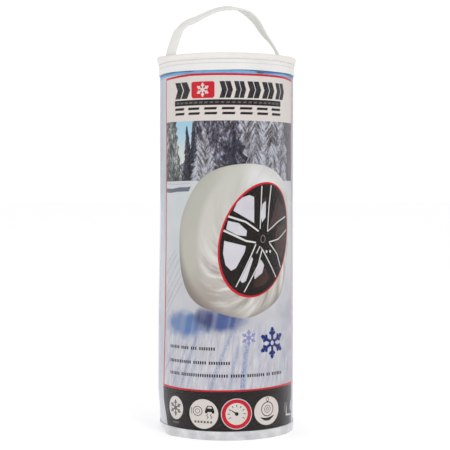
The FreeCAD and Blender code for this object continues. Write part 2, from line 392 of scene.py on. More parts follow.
def slab(name, rows, place, flat, thickness, materials, wrap=False, pick=None):
    """Closed sheet from a grid: place(i, j) is a point of its face, and flat(i, j) the same laid out in mm.
    rows is (columns, rows) of points. thickness is a number or a function of (i, j)."""
    count, high = rows
    grid = [[Vector(place(i, j)) for j in range(high)] for i in range(count)]
    deep = thickness if callable(thickness) else (lambda i, j: thickness)

    def normal(i, j):
        before, after = ((i - 1) % count, (i + 1) % count) if wrap else (max(i - 1, 0), min(i + 1, count - 1))
        side = grid[after][j] - grid[before][j]
        up = grid[i][min(j + 1, high - 1)] - grid[i][max(j - 1, 0)]
        return side.cross(up).normalized()

    outer = [grid[i][j] for i in range(count) for j in range(high)]
    inner = [grid[i][j] - normal(i, j) * deep(i, j) for i in range(count) for j in range(high)]
    size = count * high
    faces, uvs, picks = [], [], []

    def add(corners, spots, ink):
        faces.append(corners)
        uvs.append([flat(*spot) for spot in spots])
        picks.append(ink)

    last = count if wrap else count - 1
    for i in range(last):
        after = (i + 1) % count
        for j in range(high - 1):
            spots = [(i, j), (i + 1, j), (i + 1, j + 1), (i, j + 1)]
            corners = [i * high + j, after * high + j, after * high + j + 1, i * high + j + 1]
            ink = pick(i, j) if pick else 0
            add(corners, spots, ink)
            add([c + size for c in reversed(corners)], spots[::-1], ink)
        for j, flip in ((0, True), (high - 1, False)):
            corners = [i * high + j, after * high + j, after * high + j + size, i * high + j + size]
            spots = [(i, j), (i + 1, j), (i + 1, j), (i, j)]
            if flip:
                corners, spots = corners[::-1], spots[::-1]
            add(corners, spots, pick(i, min(j, high - 2)) if pick else 0)
    if not wrap:
        for i, flip in ((0, False), (count - 1, True)):
            for j in range(high - 1):
                corners = [i * high + j, i * high + j + 1, i * high + j + 1 + size, i * high + j + size]
                spots = [(i, j), (i, j + 1), (i, j + 1), (i, j)]
                if flip:
                    corners, spots = corners[::-1], spots[::-1]
                add(corners, spots, pick(min(i, count - 2), j) if pick else 0)
    return mesh_piece(name, outer + inner, faces, materials, uvs, picks if pick else None)


def hoop(name, start, end, step, radius, levels, thickness, materials, pick=None):
    """Slab round the bag from start to end degrees. radius(degrees, share) and levels give its outer face:
    levels is the low edge, the high edge and the number of rows, and share runs from 0 to 1 between the edges."""
    full = end - start >= FULL_TURN
    columns = max(round((end - start) / step), 3)
    count = columns if full else columns + 1
    turn = [start + (end - start) * i / columns for i in range(columns + 1)]
    shares = [j / (levels[2] - 1) for j in range(levels[2])]

    def height(i, j):
        low = levels[0](turn[i]) if callable(levels[0]) else levels[0]
        high = levels[1](turn[i]) if callable(levels[1]) else levels[1]
        return low + (high - low) * shares[j]

    def place(i, j):
        return around(radius(turn[i], shares[j]), turn[i], height(i, j))

    def flat(i, j):
        return (math.radians(turn[min(i, columns)]) * radius(turn[min(i, columns)], 0.5) / MM,
                height(min(i, columns), j) / MM)
    return slab(name, (count, len(shares)), place, flat, thickness, materials, full, pick)


def turn_faces_out(piece, join=False):
    """Turns a closed piece's faces outwards, once the points that meet are joined where join is true."""
    shell = bmesh.new()
    shell.from_mesh(piece.data)
    if join:
        bmesh.ops.remove_doubles(shell, verts=shell.verts, dist=1e-6)
    bmesh.ops.recalc_face_normals(shell, faces=shell.faces)
    shell.to_mesh(piece.data)
    shell.free()
    return piece


def loft(name, rings, flat, materials, joined=False):
    """Tube through rings of points, each in the same order: capped at its ends, or joined end to end."""
    if joined:
        rings = rings + [rings[0]]
    count, size = len(rings), len(rings[0])
    points = [point for ring in rings for point in ring]
    faces, uvs = [], []
    for i in range(count - 1):
        for j in range(size):
            k = (j + 1) % size
            faces.append([i * size + j, (i + 1) * size + j, (i + 1) * size + k, i * size + k])
            uvs.append([flat(i, j), flat(i + 1, j), flat(i + 1, j + 1), flat(i, j + 1)])
    if not joined:
        faces.append(list(range(size)))
        uvs.append([flat(0, j) for j in range(size)])
        faces.append([(count - 1) * size + j for j in reversed(range(size))])
        uvs.append([flat(count - 1, j) for j in reversed(range(size))])
    return turn_faces_out(mesh_piece(name, points, faces, materials, uvs), joined)


def baked_mesh(piece):
    """The piece's mesh with its modifiers applied."""
    return bpy.data.meshes.new_from_object(piece.evaluated_get(bpy.context.evaluated_depsgraph_get()))


def running_lengths(points):
    """Distance travelled along a line, at each of its points."""
    lengths = [0.0]
    for a, b in zip(points, points[1:]):
        lengths.append(lengths[-1] + math.dist(a, b))
    return lengths


def round_box_section(width, height, corner, steps=4):
    """Outline of a flat strap's cut end, with its corners rounded: (across, up) pairs."""
    outline = []
    for cx, cy, start in ((1, 1, 0), (-1, 1, 90), (-1, -1, 180), (1, -1, 270)):
        for i in range(steps + 1):
            turn = math.radians(start + 90 * i / steps)
            outline.append((cx * (width / 2 - corner) + corner * math.cos(turn),
                            cy * (height / 2 - corner) + corner * math.sin(turn)))
    return outline


def curve_through(points, steps=8, closed=False):
    """Points along a smooth line through the given ones."""
    found = []
    count = len(points)
    for i in range(count if closed else count - 1):
        a, b, c, d = (Vector(points[k % count] if closed else points[min(max(k, 0), count - 1)])
                      for k in (i - 1, i, i + 1, i + 2))
        for step in range(steps):
            t = step / steps
            found.append(0.5 * ((2 * b) + (c - a) * t + (2 * a - 5 * b + 4 * c - d) * t * t
                                + (3 * b - a - 3 * c + d) * t ** 3))
    if not closed:
        found.append(Vector(points[-1]))
    return found


# ---------------------------------------------------------------- repeating parts, by Geometry Nodes
def make_row_tree():
    """Sets copies of a unit along a line at an even pitch, with X along the line and Z outwards."""
    tree = bpy.data.node_groups.new("row_of_units", "GeometryNodeTree")
    for label, kind in (("Line", "NodeSocketGeometry"), ("Unit", "NodeSocketObject"),
                        ("Pitch", "NodeSocketFloat"), ("Finish", "NodeSocketMaterial")):
        tree.interface.new_socket(label, in_out="INPUT", socket_type=kind)
    tree.interface.new_socket("Row", in_out="OUTPUT", socket_type="NodeSocketGeometry")
    takes = tree.nodes.new("NodeGroupInput").outputs
    line = put(tree, "GeometryNodeMeshToCurve", {0: takes["Line"]})
    spaced = put(tree, "GeometryNodeResampleCurve", {"Curve": line.outputs[0], "Length": takes["Pitch"]},
                 mode="LENGTH")
    unit = put(tree, "GeometryNodeObjectInfo", {"Object": takes["Unit"]})
    tangent = put(tree, "GeometryNodeInputTangent")
    facing = put(tree, "GeometryNodeInputNamedAttribute", {"Name": "facing"}, data_type="FLOAT_VECTOR")
    along = put(tree, "FunctionNodeAlignRotationToVector", {"Vector": tangent.outputs[0]}, axis="X")
    turned = put(tree, "FunctionNodeAlignRotationToVector",
                 {"Rotation": along.outputs[0], "Vector": facing.outputs[0]}, axis="Z", pivot_axis="X")
    rows = put(tree, "GeometryNodeInstanceOnPoints",
               {"Points": spaced.outputs[0], "Instance": unit.outputs["Geometry"],
                "Rotation": turned.outputs[0]})
    solid = put(tree, "GeometryNodeRealizeInstances", {0: rows.outputs[0]})
    coated = put(tree, "GeometryNodeSetMaterial", {"Geometry": solid.outputs[0], "Material": takes["Finish"]})
    put(tree, "NodeGroupOutput", {0: coated.outputs[0]})
    return tree


ROW_TREE = make_row_tree()


def row_of(name, lines, unit, pitch, material):
    """Mesh with units set along lines. Each line is a list of (point, outward direction) pairs."""
    mesh = bpy.data.meshes.new(name + "_line")
    points, edges, facing = [], [], []
    for line in lines:
        edges += [(len(points) + i, len(points) + i + 1) for i in range(len(line) - 1)]
        points += [tuple(point) for point, _ in line]
        facing += [value for _, direction in line for value in direction]
    mesh.from_pydata(points, edges, [])
    mesh.attributes.new("facing", "FLOAT_VECTOR", "POINT").data.foreach_set("vector", facing)
    holder = new_object(name + "_line", mesh)
    modifier = holder.modifiers.new("row", "NODES")
    modifier.node_group = ROW_TREE
    sockets = {item.name: item.identifier for item in ROW_TREE.interface.items_tree if item.in_out == "INPUT"}
    modifier[sockets["Unit"]] = unit
    modifier[sockets["Pitch"]] = pitch
    modifier[sockets["Finish"]] = material
    holder.update_tag()
    bpy.context.view_layer.update()
    done = baked_mesh(holder)
    bpy.data.objects.remove(holder)
    done.name = name
    return new_object(name, done)


def unit_tube(name, path, radius, sides=6):
    """Small round bar along a path near the origin, used as the repeated unit. It isn't shown itself."""
    points = [Vector(point) for point in path]
    rings = []
    for i, point in enumerate(points):
        ahead = (points[min(i + 1, len(points) - 1)] - points[max(i - 1, 0)]).normalized()
        side = ahead.cross(Vector((0, 0, 1)))
        side = side.normalized() if side.length > 0.1 else Vector((1, 0, 0))
        up = side.cross(ahead)
        thin = 0.6 if i in (0, len(points) - 1) else 1.0
        rings.append([point + (side * math.cos(a) + up * math.sin(a)) * radius * thin
                      for a in (math.tau * k / sides for k in range(sides))])
    unit = loft(name, rings, lambda i, j: (0.3 * i, 0.3 * j), [])
    unit.data.polygons.foreach_set("use_smooth", [True] * len(unit.data.polygons))
    return unit


STITCH = unit_tube("stitch_unit", [(x * MM, 0, z * MM) for x,
                                   z in ((-1.15, -0.1), (-0.8, 0.1), (0.8, 0.1), (1.15, -0.1))], 0.19 * MM, 6)
UNITS = [STITCH]


def stitches(name, lines, body, pitch=3.0):
    piece = row_of(name, lines, STITCH, pitch * MM, THREAD)
    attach(piece, body)
    return piece


def round_line(radius, height, start=-180.0, end=180.0, step=3.0):
    """Line round the bag for a row of units, with directions that face outwards."""
    steps = max(round((end - start) / step), 2)
    line = []
    for i in range(steps + 1):
        turn = start + (end - start) * i / steps
        line.append((around(radius, turn, height), outward(turn)))
    return line


# ---------------------------------------------------------------- printing inks, patterned in millimetres
def ink(name, build, roughness=0.42):
    return finish_material("ink_" + name, build, roughness, 0.12, 0.00003, Specular_IOR_Level=0.2)


def print_grain(tree, place, colour, amount=0.06):
    """Fine screen of the print and the card's slow change of tone."""
    return use_effect(tree, TONE, {"Place": place, "Colour": colour, "Amount": amount})["Colour"]


def plain_ink(name, colour, amount=0.06):
    return ink(name, lambda tree, place: (print_grain(tree, place, rgb(*colour), amount),
                                          speckle(tree, place, 3.0)))


def trees_ink(name, dark, middle, light, snow, slant=0.35, bough=(0.36, 0.24)):
    """Conifers: drooping boughs with snow on them, as slanting streaks at two sizes."""
    def build(tree, place):
        x, z, _ = parts_of(tree, place)
        lean = scaled(tree, calc(tree, "PINGPONG", plus(tree, x, 100.0), 9.0), slant * 3, z)
        boughs = vector_of(tree, times(tree, x, bough[0]), times(tree, lean, bough[1]))
        twigs = vector_of(tree, times(tree, x, 0.95), times(tree, lean, 0.6), 4.0)
        big = speckle(tree, boughs, 1.0, 3.0, 0.65)
        small = speckle(tree, twigs, 1.0, 2.0, 0.6)
        masses = speckle(tree, vector_of(tree, times(tree, x, 0.13), times(tree, lean, 0.06), 9.0), 1.0, 2.0)
        load = plus(tree, times(tree, big, 0.6), times(tree, small, 0.4))
        load = scaled(tree, minus(tree, masses, 0.5), 0.45, load)
        base = blend_colours(tree, ease(tree, load, 0.36, 0.5), rgb(*dark), rgb(*middle))
        return blend_colours(tree, ease(tree, load, snow, snow + 0.13), base, rgb(*light)), load
    return ink(name, build)


def oval_reach(tree, u, z, centre, radii):
    """1 on an oval round centre, less inside and more outside."""
    du = calc(tree, "DIVIDE", minus(tree, u, centre[0]), radii[0])
    dz = calc(tree, "DIVIDE", minus(tree, z, centre[1]), radii[1])
    return calc(tree, "SQRT", plus(tree, times(tree, du, du), times(tree, dz, dz)))


def streak(tree, u, z, low, high, width, ends):
    """Mask of a straight mark from low to high, in mm, fading over its two ends."""
    slope = (high[0] - low[0]) / (high[1] - low[1])
    middle = scaled(tree, minus(tree, z, low[1]), slope, low[0])
    off = calc(tree, "ABSOLUTE", minus(tree, u, middle))
    core = ease(tree, off, width, width * 0.3)
    bottom = ease(tree, z, low[1] - ends, low[1] + ends)
    top = ease(tree, z, high[1] + ends, high[1] - ends)
    return times(tree, core, times(tree, bottom, top))


TYRE_TRACKS = (((13.8, 44), (18.4, 86), 3.4, 0.8), ((2.1, 44), (10.2, 84), 2.2, 0.6),
               ((-14.9, 44), (-6.1, 71), 2.6, 0.6), ((-6.1, 71), (5, 97), 2.4, 0.6),
               ((-46.2, 44), (-34.5, 75), 2.4, 0.6), ((-34.5, 75), (-27.3, 93), 2.2, 0.6),
               ((-37.8, 46), (-27.3, 76), 1.8, 0.4), ((-56, 47), (-47.5, 64), 1.4, 0.6),
               ((-47.5, 64), (-34.5, 92), 1.6, 0.5), ((-69, 58), (-52.9, 80), 1.6, 0.5),
               ((31, 44), (30, 104), 3.4, 0.22), ((44, 44), (40, 70), 3.0, 0.18))
SKID_LINES = (((-71, 104), (-42, 142)), ((-70, 112), (-43, 149)), ((-68, 124), (-46, 153)),
              ((-67, 134), (-47, 161)), ((-67, 146), (-50, 166)), ((-66, 155), (-50, 171)))


def snow_ground(tree, place):
    """Trodden snow, grey-green above and lavender lower down, with tracks and the tyre's blue shadow."""
    u, z, _ = parts_of(tree, place)
    grain = speckle(tree, place, 0.35, 4.0, 0.6)
    patches = speckle(tree, place, 0.06, 2.0)
    colour = blend_colours(tree, ease(tree, z, 190.0, 110.0), rgb(197, 202, 200), rgb(192, 191, 194))
    colour = blend_colours(tree, times(tree, ease(tree, z, 100.0, 45.0), 0.6), colour, rgb(192, 189, 195))
    colour = blend_colours(tree, times(tree, ease(tree, u, 44.0, 72.0), ease(tree, z, 150.0, 110.0)), colour,
                           rgb(170, 169, 176))
    colour = blend_colours(tree, times(tree, ease(tree, patches, 0.35, 0.7), 0.45), colour,
                           rgb(207, 209, 208))
    rough = ease(tree, speckle(tree, place, 0.75, 3.0, 0.7), 0.36, 0.58)
    drive = vector_of(tree, times(tree, minus(tree, u, times(tree, z, 0.14)), 0.45),
                      times(tree, z, 0.05), 2.0)
    ruts = speckle(tree, drive, 1.0, 4.0, 0.7)
    ground = ease(tree, z, 112.0, 88.0)
    colour = blend_colours(tree, times(tree, ease(tree, ruts, 0.5, 0.38), times(tree, ground, 0.42)), colour,
                           rgb(152, 156, 182))
    colour = blend_colours(tree, times(tree, ease(tree, ruts, 0.52, 0.64), times(tree, ground, 0.7)), colour,
                           rgb(216, 215, 218))
    for low, high, width, strength in TYRE_TRACKS:
        mark = times(tree, streak(tree, u, z, low, high, width, 5.0), times(tree, rough, strength))
        colour = blend_colours(tree, mark, colour, rgb(108, 134, 178))
    for low, high in SKID_LINES:
        mark = times(tree, streak(tree, u, z, low, high, 0.55, 2.0), times(tree, rough, 0.75))
        colour = blend_colours(tree, mark, colour, rgb(86, 112, 128))
    torn = scaled(tree, speckle(tree, place, 0.11, 4.0, 0.65), 0.7, -0.35)
    bands = ease(tree, speckle(tree, vector_of(tree, scaled(tree, z, -0.02, times(tree, u, 0.1)), 0.0, 5.0),
                               1.0, 3.0), 0.68, 0.42)
    for centre, radii, tint, strength in (((-40.0, 103.0), (30.0, 15.0), (72, 112, 166), 0.9),
                                          ((-6.0, 107.0), (30.0, 13.5), (62, 84, 138), 0.95),
                                          ((-20.0, 109.0), (13.0, 12.0), (64, 64, 96), 0.7)):
        reach = plus(tree, oval_reach(tree, u, z, centre, radii), times(tree, torn, 0.8))
        share = times(tree, ease(tree, reach, 1.05, 0.4), scaled(tree, bands, 0.4 * strength,
                                                                          0.6 * strength))
        colour = blend_colours(tree, share, colour, rgb(*tint))
    return print_grain(tree, place, colour), grain


RING_CENTRE, RING_RADII, RING_LEAN = (30.6, 179.0), (37.1, 51.2), 8.5


def wheel_point(share, degrees):
    """Point of the pictured wheel, by its share of the red edge's radius and its angle round it."""
    turn = math.radians(degrees)
    lift = share * math.sin(turn)
    return (RING_CENTRE[0] + RING_RADII[0] * share * math.cos(turn) + RING_LEAN * lift,
            RING_CENTRE[1] + RING_RADII[1] * lift)


def pictured_sock(tree, place):
    """White textile over the pictured tyre: pleats out from the red edge, and a shaded shoulder."""
    u, z, _ = parts_of(tree, place)
    lift = calc(tree, "DIVIDE", minus(tree, z, RING_CENTRE[1]), RING_RADII[1])
    aside = minus(tree, minus(tree, u, RING_CENTRE[0]), times(tree, lift, RING_LEAN))
    aside = calc(tree, "DIVIDE", aside, RING_RADII[0])
    reach = calc(tree, "SQRT", plus(tree, times(tree, lift, lift), times(tree, aside, aside)))
    turn = calc(tree, "ARCTAN2", lift, aside)
    spiral = scaled(tree, reach, 0.9, turn)
    pleats = speckle(tree, vector_of(tree, times(tree, spiral, 5.5), times(tree, reach, 1.3)), 1.0, 3.0, 0.6)
    low_half = ease(tree, lift, 0.35, -0.6)
    near = times(tree, ease(tree, reach, 1.65, 1.05), scaled(tree, low_half, 0.8, 0.2))
    colour = blend_colours(tree, ease(tree, z, 240.0, 150.0), rgb(196, 195, 184), rgb(205, 200, 192))
    colour = blend_colours(tree, times(tree, ease(tree, u, 8.0, 30.0), ease(tree, z, 214.0, 232.0)), colour,
                           rgb(220, 220, 216))
    tread = ease(tree, oval_reach(tree, u, z, (26.0, 176.0), (50.0, 66.0)), 0.98, 1.12)
    left = ease(tree, u, 10.0, -22.0)
    colour = blend_colours(tree, times(tree, tread, times(tree, left, 0.7)), colour, rgb(174, 173, 159))
    foot = times(tree, ease(tree, z, 160.0, 124.0), scaled(tree, ease(tree, u, 14.0, -16.0), 0.6, 0.3))
    colour = blend_colours(tree, foot, colour, rgb(164, 155, 144))
    edge = ease(tree, oval_reach(tree, u, z, (12.5, 178.0), (60.5, 69.5)), 0.88, 1.03)
    colour = blend_colours(tree, times(tree, edge, scaled(tree, low_half, 0.55, 0.15)), colour,
                           rgb(116, 107, 98))
    folds = times(tree, ease(tree, pleats, 0.5, 0.36), times(tree, near, 0.5))
    colour = blend_colours(tree, folds, colour, rgb(118, 111, 102))
    crests = times(tree, ease(tree, pleats, 0.54, 0.64), times(tree, near, 0.6))
    colour = blend_colours(tree, crests, colour, rgb(232, 230, 224))
    return print_grain(tree, place, colour, 0.05), pleats


def side_panel(tree, place):
    """Pale ice blue of the card's sides, with soft drifts."""
    u, z, _ = parts_of(tree, place)
    drift = speckle(tree, vector_of(tree, times(tree, u, 0.03), times(tree, z, 0.012)), 1.0, 3.0)
    colour = blend_colours(tree, ease(tree, drift, 0.35, 0.65), rgb(184, 189, 196), rgb(202, 205, 208))
    return print_grain(tree, place, colour), drift


def sky_ink(tree, place):
    _, z, _ = parts_of(tree, place)
    haze = speckle(tree, place, 0.12, 2.0)
    height = scaled(tree, haze, 14.0, minus(tree, z, 7.0))
    return blend_colours(tree, ease(tree, height, 250.0, 282.0), rgb(206, 212, 204), rgb(162, 200, 216)), haze


def wheel_ink(tree, place):
    dust = speckle(tree, place, 0.5, 4.0, 0.65)
    return blend_colours(tree, ease(tree, dust, 0.5, 0.75), rgb(29, 23, 21), rgb(62, 53, 51)), dust


INKS = {
    "white": plain_ink("header_white", (216, 208, 200), 0.04),
    "black": plain_ink("charcoal", (40, 34, 33), 0.25),
    "red": plain_ink("red", (198, 30, 44)),
    "side": ink("ice_blue", side_panel),
    "snow": ink("snow", snow_ground),
    "sky": ink("sky", sky_ink),
    "sock": ink("pictured_sock", pictured_sock),
    "wheel": ink("wheel", wheel_ink),
    "woods": trees_ink("woods", (34, 30, 32), (84, 80, 88), (164, 164, 182), 0.505),
    "left_firs": trees_ink("left_firs", (36, 38, 42), (92, 96, 96), (186, 190, 182), 0.505),
    "dark_firs": trees_ink("dark_firs", (26, 26, 31), (58, 57, 66), (126, 128, 146), 0.535),
    "snowy_fir": trees_ink("snowy_fir", (66, 60, 60), (128, 125, 130), (190, 193, 202), 0.475,
                           slant=0.5, bough=(0.2, 0.3)),
    "far_strip": trees_ink("far_strip", (78, 75, 80), (98, 95, 98), (112, 110, 114), 0.56),
    "shadow": plain_ink("snow_shadow", (106, 107, 122), 0.3),
    "silver": plain_ink("wheel_edge", (214, 213, 207), 0.1),
    "window": plain_ink("wheel_gap", (205, 203, 206), 0.25),
    "brake": plain_ink("brake_brown", (68, 50, 44), 0.9),
    "light_blue": plain_ink("light_blue", (116, 170, 210), 0.3),
    "deep_blue": plain_ink("deep_blue", (78, 118, 166), 0.5),
    "navy": plain_ink("navy", (26, 42, 112)),
    "lavender": plain_ink("lavender", (138, 138, 184)),
    "faint": plain_ink("faint_lavender", (172, 168, 194)),
    "grey": plain_ink("grey", (98, 94, 94), 0.2),
    "hub": plain_ink("hub_cap", (120, 112, 108), 0.3),
    "panel": plain_ink("panel_white", (224, 224, 226)),
    "white_cloth": plain_ink("cloth_white", (206, 206, 198), 0.2),
    "tread": trees_ink("rubber", (36, 34, 36), (52, 50, 52), (84, 82, 84), 0.6, 0.0),
}

# ---------------------------------------------------------------- artwork: ink and outline, later ones on top
ART = []
SHEET_LEFT, SHEET_RIGHT = -(math.pi * SHEET_RADIUS / MM) + 5, (math.pi * SHEET_RADIUS / MM) - 5
SHEET_BOTTOM, SHEET_TOP = SHEET_LOW / MM, SHEET_HIGH / MM


def paint(name, outline):
    """Adds an area of ink. Its outline is turned to run anticlockwise, as the cutting needs."""
    outline = [(float(u), float(z)) for u, z in outline]
    area = sum(a[0] * b[1] - b[0] * a[1] for a, b in zip(outline, outline[1:] + outline[:1]))
    ART.append((name, outline if area > 0 else outline[::-1]))


def round_spot(u, z, reach, degrees):
    """Point at a distance and an angle from (u, z)."""
    turn = math.radians(degrees)
    return (u + reach * math.cos(turn), z + reach * math.sin(turn))


def block(name, u0, z0, u1, z1, lean=0.0):
    paint(name, [(u0, z0), (u1, z0), (u1 + lean, z1), (u0 + lean, z1)])


def disc(name, u, z, radius, tall=None, steps=36):
    tall = tall or radius
    paint(name, [(u + radius * math.cos(a), z + tall * math.sin(a))
                 for a in (math.tau * k / steps for k in range(steps))])


def soft_shape(name, points, steps=4):
    paint(name, [(p.x, p.y) for p in curve_through([(u, z, 0) for u, z in points], steps, True)])


def stroke(name, points, width, end_width=None):
    """Line of even or tapering width."""
    end_width = width if end_width is None else end_width
    count = len(points)
    left, right = [], []
    for i, (u, z) in enumerate(points):
        ahead = Vector((points[min(i + 1, count - 1)][0] - points[max(i - 1, 0)][0],
                        points[min(i + 1, count - 1)][1] - points[max(i - 1, 0)][1])).normalized()
        half = (width + (end_width - width) * i / (count - 1)) / 2
        left.append((u - ahead.y * half, z + ahead.x * half))
        right.append((u + ahead.y * half, z - ahead.x * half))
    paint(name, left + right[::-1])


def snowflake(name, u, z, radius, width, squash=1.0):
    """Six arms, each with two pairs of barbs, and a hole in the middle."""
    def spot(reach, degrees):
        a = math.radians(degrees)
        return (u + reach * math.cos(a) * squash, z + reach * math.sin(a))
    for arm in range(6):
        at = 90.0 + arm * 60
        stroke(name, [spot(radius * 0.16, at), spot(radius, at)], width)
        for reach, barb in ((0.52, 0.3), (0.8, 0.15)):
            root = spot(radius * reach, at)
            for side in (-52, 52):
                a = math.radians(at + side)
                tip = (root[0] + barb * radius * math.cos(a) * squash, root[1] + barb * radius * math.sin(a))
                stroke(name, [root, tip], width * 0.95)
    disc(name, u, z, radius * 0.26 * squash, radius * 0.26, 18)


def fir(name, tip, base, half_width, tiers, seed, lean=0.0):
    """Conifer outline with drooping tiers of boughs."""
    pick = random.Random(seed)
    left, right = [], []
    for k in range(tiers):
        share = (k + 1) / tiers
        z = tip[1] + (base - tip[1]) * share
        reach = half_width * share ** 0.8
        for side, outline in ((-1, left), (1, right)):
            u = tip[0] + lean * share
            outline.append((u + side * reach * pick.uniform(0.85, 1.1), z + pick.uniform(0, 2)))
            outline.append((u + side * reach * pick.uniform(0.62, 0.78), z + pick.uniform(0.5, 2.5)))
    paint(name, [tip] + right[:-1] + left[:-1][::-1])


def panel_ground():
    """The card's side colour, the framed front panel and its red border."""
    block("side", SHEET_LEFT, SHEET_BOTTOM, SHEET_RIGHT, SHEET_TOP)
    paint("deep_blue", [(SHEET_LEFT, 326.6), (-88, 327.0), (-40, 328.4), (0, 328.4), (27, 328.2), (36, 327.2),
                        (86, 325.8), (SHEET_RIGHT, 326.0), (SHEET_RIGHT, SHEET_TOP), (SHEET_LEFT, SHEET_TOP)])
    paint("light_blue", [(SHEET_LEFT, 324.8), (-84, 325.0), (-67, 326.4), (-34, 326.9), (0, 326.7),
                         (30, 326.5), (60, 326.4), (84, 324.6), (SHEET_RIGHT, 324.8), (SHEET_RIGHT, 326.4),
                         (82, 326.6), (60, 328.6), (36, 327.4), (20, 329.6), (0, 330), (-26, 330),
                         (-34, 328.6), (-50, 329.2), (-70, 327.9), (SHEET_LEFT, 326.9)])
    disc("grey", 31.5, 327.9, 4.2, 0.8, 16)
    paint("red", [(-73.4, 43.5), (-71.2, 80), (-69.8, 122), (-69.2, 214), (-68.0, 324.9), (-34, 327.2),
                  (0, 326.9), (60, 326.6), (81.2, 325.2), (82.2, 214), (81.0, 122), (81.8, 44)])
    paint("white", [(-71.4, 46), (-69.3, 80), (-67.9, 122), (-67.4, 214), (-66.9, 323.2), (-34, 325.1),
                    (0, 325.0), (60, 324.7), (80.0, 323.2), (80.4, 214), (79.2, 122), (80, 46), (-10, 44)])


def header():
    """Generic heading: chunky tread blocks, a red badge with a snowflake, a bar and a row of short marks."""
    for u, width in ((-52.5, 16.5), (-6.5, 11), (6.5, 10), (18.5, 12.5), (33, 13), (48.5, 12)):
        chevron = ((0, 305.0), (0.42, 305.0), (0.62, 312.4), (0.42, 319.8), (0, 319.8), (0.2, 312.4))
        for shift in (0.0, 0.48):
            paint("tread", [(u + (share + shift) * width, z) for share, z in chevron])
    soft_badge = [(-33.0, 306.8), (-31.5, 305.0), (-12.3, 305.0), (-10.8, 306.8), (-10.8, 318.4),
                  (-12.0, 319.8), (-31.8, 319.8), (-33.0, 318.4)]
    paint("red", soft_badge)
    snowflake("white", -21.9, 312.4, 6.2, 1.25)
    block("black", -53, 298.7, 56, 303.7)
    for k in range(21):
        block("grey", -50.5 + k * 5.0, 300.4, -47.4 + k * 5.0, 302.0, 0.6)
    for k in range(7):
        block("black", -53 + k * 16.1, 294.7, -41.6 + k * 16.1, 296.9, 0.8)
        block("black", -52.6 + k * 16.1, 290.4, -41.2 + k * 16.1, 292.6, 0.8)


def landscape():
    """Winter wood under a scrap of sky, and the snow in front of it."""
    block("woods", -67, 229, 80, 285)
    paint("sky", [(-54, 285), (-31.5, 285), (-33, 262), (-37, 250), (-46, 246), (-52, 262)])
    paint("left_firs", [(-67, 285), (-50.5, 285), (-52.0, 281), (-49.4, 279), (-51.6, 274), (-48.6, 271),
                        (-50.6, 266), (-47.4, 262), (-49.2, 257), (-45.6, 251), (-47.2, 246), (-43.4, 238),
                        (-44.6, 234), (-42, 229), (-67, 229)])
    fir("dark_firs", (-38.2, 281.2), 229, 7.6, 12, 5, 2.6)
    fir("dark_firs", (-31.6, 284.6), 240, 5.4, 10, 7, 1.0)
    fir("snowy_fir", (-20, 279), 229, 15.5, 10, 11, -2.0)
    paint("dark_firs", [(-5, 240), (-3, 247), (-6, 252), (-1, 256), (-4, 262), (1, 264), (0, 271), (4, 268),
                        (6, 276), (9, 268), (13, 272), (12, 264), (17, 262), (15, 255), (20, 252), (18, 246),
                        (24, 240)])
    paint("far_strip", [(56, 285), (80, 285), (80, 229), (66, 229), (62, 260)])
    paint("snowy_fir", [(13, 285), (60, 285), (62, 281), (60, 277), (65, 270), (63, 268), (68, 260),
                        (65, 257), (68.5, 249), (66, 246), (66.5, 238), (69, 229), (18, 229), (23, 242),
                        (17, 247), (19.5, 252), (14, 256), (17.5, 263), (11, 268), (15, 275), (10, 280)])
    paint("snow", [(-67.2, 231), (-40, 231.6), (0, 231), (50, 232), (80, 231.8), (80.4, 214), (79.2, 122),
                   (80, 45.6), (60, 45.9), (20, 44.9), (-20, 44.4), (-71.4, 45.2), (-69.3, 80), (-67.9, 122),
                   (-67.4, 214)])
    paint("shadow", [(-67.2, 225.0), (-56, 224.6), (-46, 226.0), (-38, 225.9), (-33.6, 226.6), (-36, 222.2),
                     (-50, 221.8), (-60, 220.8), (-67.2, 221.4)])
    stroke("faint", [(-66, 229.2), (-50, 228.6), (-34, 229.4)], 0.8, 0.4)


